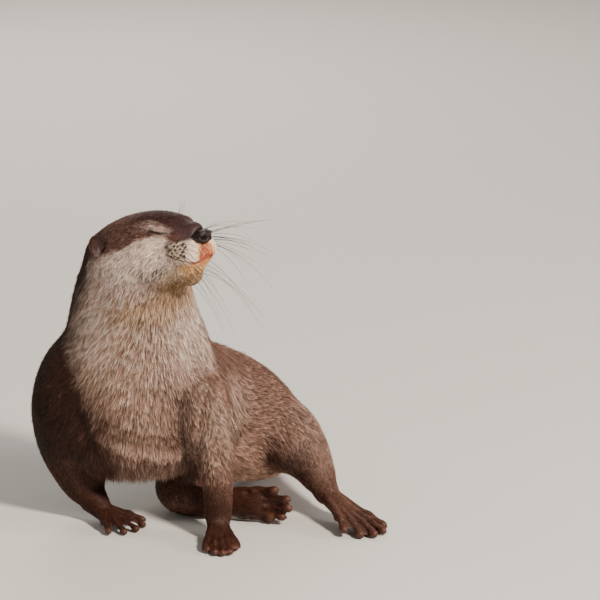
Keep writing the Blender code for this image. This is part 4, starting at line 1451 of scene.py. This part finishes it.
def lighten(thing, triangles):
    """Fewer faces where the surface is plain. The coat is laid on the full surface, before this."""
    thing.data.calc_loop_triangles()
    ratio = triangles / len(thing.data.loop_triangles)
    modify(thing, "DECIMATE", ratio=ratio, use_collapse_triangulate=True)


def paint_skin(skin):
    """The skin under the coat, darker than the hair, and its bare lips, lids, ears' cups, toes and soles."""
    mesh = skin.data
    points, facing = coords(mesh), normals(mesh)
    part = soft_parts(points, edges_of(mesh), 16)
    colour = markings(points, facing, part)[0] * 0.8
    local, eye, _, mouth, along_mouth = face_lines(points)
    on_head = share_of(part, *HEAD_KINDS[:-1])
    # the lids' slit painted near black, partly as painted shade in it
    colour = mix(colour, LID_SKIN, step(1.3, 0.6, eye) * on_head)
    below = local[:, 2] < height_of(MOUTH, local[:, 0]) + 0.4
    lip = step(2.4, 1.5, mouth) * step(0.4, 0.6, along_mouth) * np.where(below, 1, 0.7)
    lip = np.clip(lip + 0.7 * nose_seam(local, 1.3, 0.6), 0, 1) * on_head
    wander = 0.8 + 0.35 * noise3(points, 0.004, 51) + 0.2 * noise3(points, 0.0015, 52)
    colour = mix(colour, np.array(LIP_SKIN) * wander[:, None], lip)
    # the mouth's line painted dark, partly as painted shade in its crease
    colour = mix(colour, MOUTH_SKIN, 0.9 * step(0.85, 0.4, mouth) * on_head)
    colour = mix(colour, EAR_SKIN, in_ear(points, facing))
    colour = mix(colour, PAW_SKIN, share_of(part, "forepaw", "hind_foot"))
    colour = mix(colour, TOE_SKIN, toe_ends(points) * 0.9)
    paint(mesh, "coat", colour)


# ---------------- the scene


def make_stage():
    """A plain pale floor that curves up into a plain wall all round, far from the animal."""
    flat, bend, top, around = 4.2, 1.5, 2.6, 96
    profile = [(flat * share, 0.0) for share in (0.25, 0.5, 0.75, 1)]
    for turn in np.linspace(0.1, math.pi / 2, 16):
        profile.append((flat + bend * math.sin(turn), bend - bend * math.cos(turn)))
    profile.append((flat + bend, top))
    turns = np.linspace(0, 2 * math.pi, around, endpoint=False)
    shape = bmesh.new()
    middle = shape.verts.new((0, 0, 0))
    rows = [[shape.verts.new((r * math.cos(t), r * math.sin(t), z)) for t in turns] for r, z in profile]
    web(shape, middle, rows)
    floor = finished(shape, "floor")
    floor.data.materials.append(floor_material())


# Each light's place, where it points, its width, its power and its colour
LIGHTS = {
    "key": ((1.35, -1.65, 1.85), (0.0, -0.05, 0.12), 0.42, 116, (1.0, 0.92, 0.81)),
    "fill": ((-1.5, -1.7, 0.9), (-0.02, -0.08, 0.12), 1.4, 2, (0.92, 0.95, 1.0)),
    "side": ((2.1, -0.4, 0.75), (0.0, -0.05, 0.12), 0.6, 26, (1.0, 0.96, 0.93)),
    "rim": ((-0.3, 1.9, 1.1), (0.0, 0.0, 0.1), 1.0, 20, (1.0, 0.95, 0.88)),
    "back": ((-1.8, 0.5, 0.8), (-0.02, 0.0, 0.12), 1.2, 5, (1.0, 0.97, 0.93)),
}


def add_light(name, at, towards, size, power, colour):
    lamp = bpy.data.lights.new(name, "AREA")
    lamp.shape = "DISK"
    lamp.size = size
    lamp.energy = power
    lamp.color = colour
    aim(link(lamp, name), at, Vector(towards) - Vector(at))


def make_camera():
    """A little above the animal, looking down on it, at a distance where its frame is so many metres wide."""
    elevation, distance, width = math.radians(16), 3.0, 0.492
    up = Vector((0, math.sin(elevation), math.cos(elevation)))
    back = Vector((0, -math.cos(elevation), math.sin(elevation)))
    target = Vector((0.07535, -0.0903, 0)) + up * 0.1755
    camera = bpy.data.cameras.new("camera")
    camera.lens = camera.sensor_width * distance / width
    camera.clip_end = 50
    bpy.context.scene.camera = link(camera, "camera")
    aim(bpy.context.scene.camera, target + back * distance, -back)


def make_world():
    world = bpy.data.worlds.new("studio")
    bpy.context.scene.world = world
    world.use_nodes = True
    background = world.node_tree.nodes["Background"]
    background.inputs["Color"].default_value = (1.0, 0.98, 0.95, 1)
    background.inputs["Strength"].default_value = 0.30


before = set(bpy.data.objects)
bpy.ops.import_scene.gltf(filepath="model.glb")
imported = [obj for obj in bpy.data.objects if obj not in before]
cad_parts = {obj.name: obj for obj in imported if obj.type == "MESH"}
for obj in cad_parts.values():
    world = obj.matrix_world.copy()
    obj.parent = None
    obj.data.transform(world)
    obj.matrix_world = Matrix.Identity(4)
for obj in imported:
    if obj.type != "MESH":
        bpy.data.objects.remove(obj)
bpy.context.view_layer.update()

skin, part = make_skin()
unwrap(skin)
SKIN_TREE = BVHTree.FromPolygons([v.co for v in skin.data.vertices], [p.vertices for p in skin.data.polygons])
fur = coat_material()
coat = make_coat(skin, part)
nose = make_nose()
whiskers = make_whiskers()
lashes = make_lashes()
nails = make_nails()

lighten(skin, SKIN_TRIANGLES)
paint_skin(skin)
skin.data.shade_smooth()
skin.data.materials.clear()
skin.data.materials.append(skin_material())
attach(skin, "root")
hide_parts(*[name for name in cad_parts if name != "nose"])

for piece in coat:
    piece.data.materials.append(fur)
    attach(piece, "root")

nose.data.materials.append(nose_material())
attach(nose, "root")
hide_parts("nose")

hair = whisker_material()
for piece, slot in ((whiskers, "pale_coat"), (lashes, "eyelid")):
    piece.data.materials.append(hair)
    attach(piece, "root")

nails.data.materials.append(nail_material())
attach(nails, "root")

make_stage()
make_world()
for name, light in LIGHTS.items():
    add_light(name, *light)
make_camera()
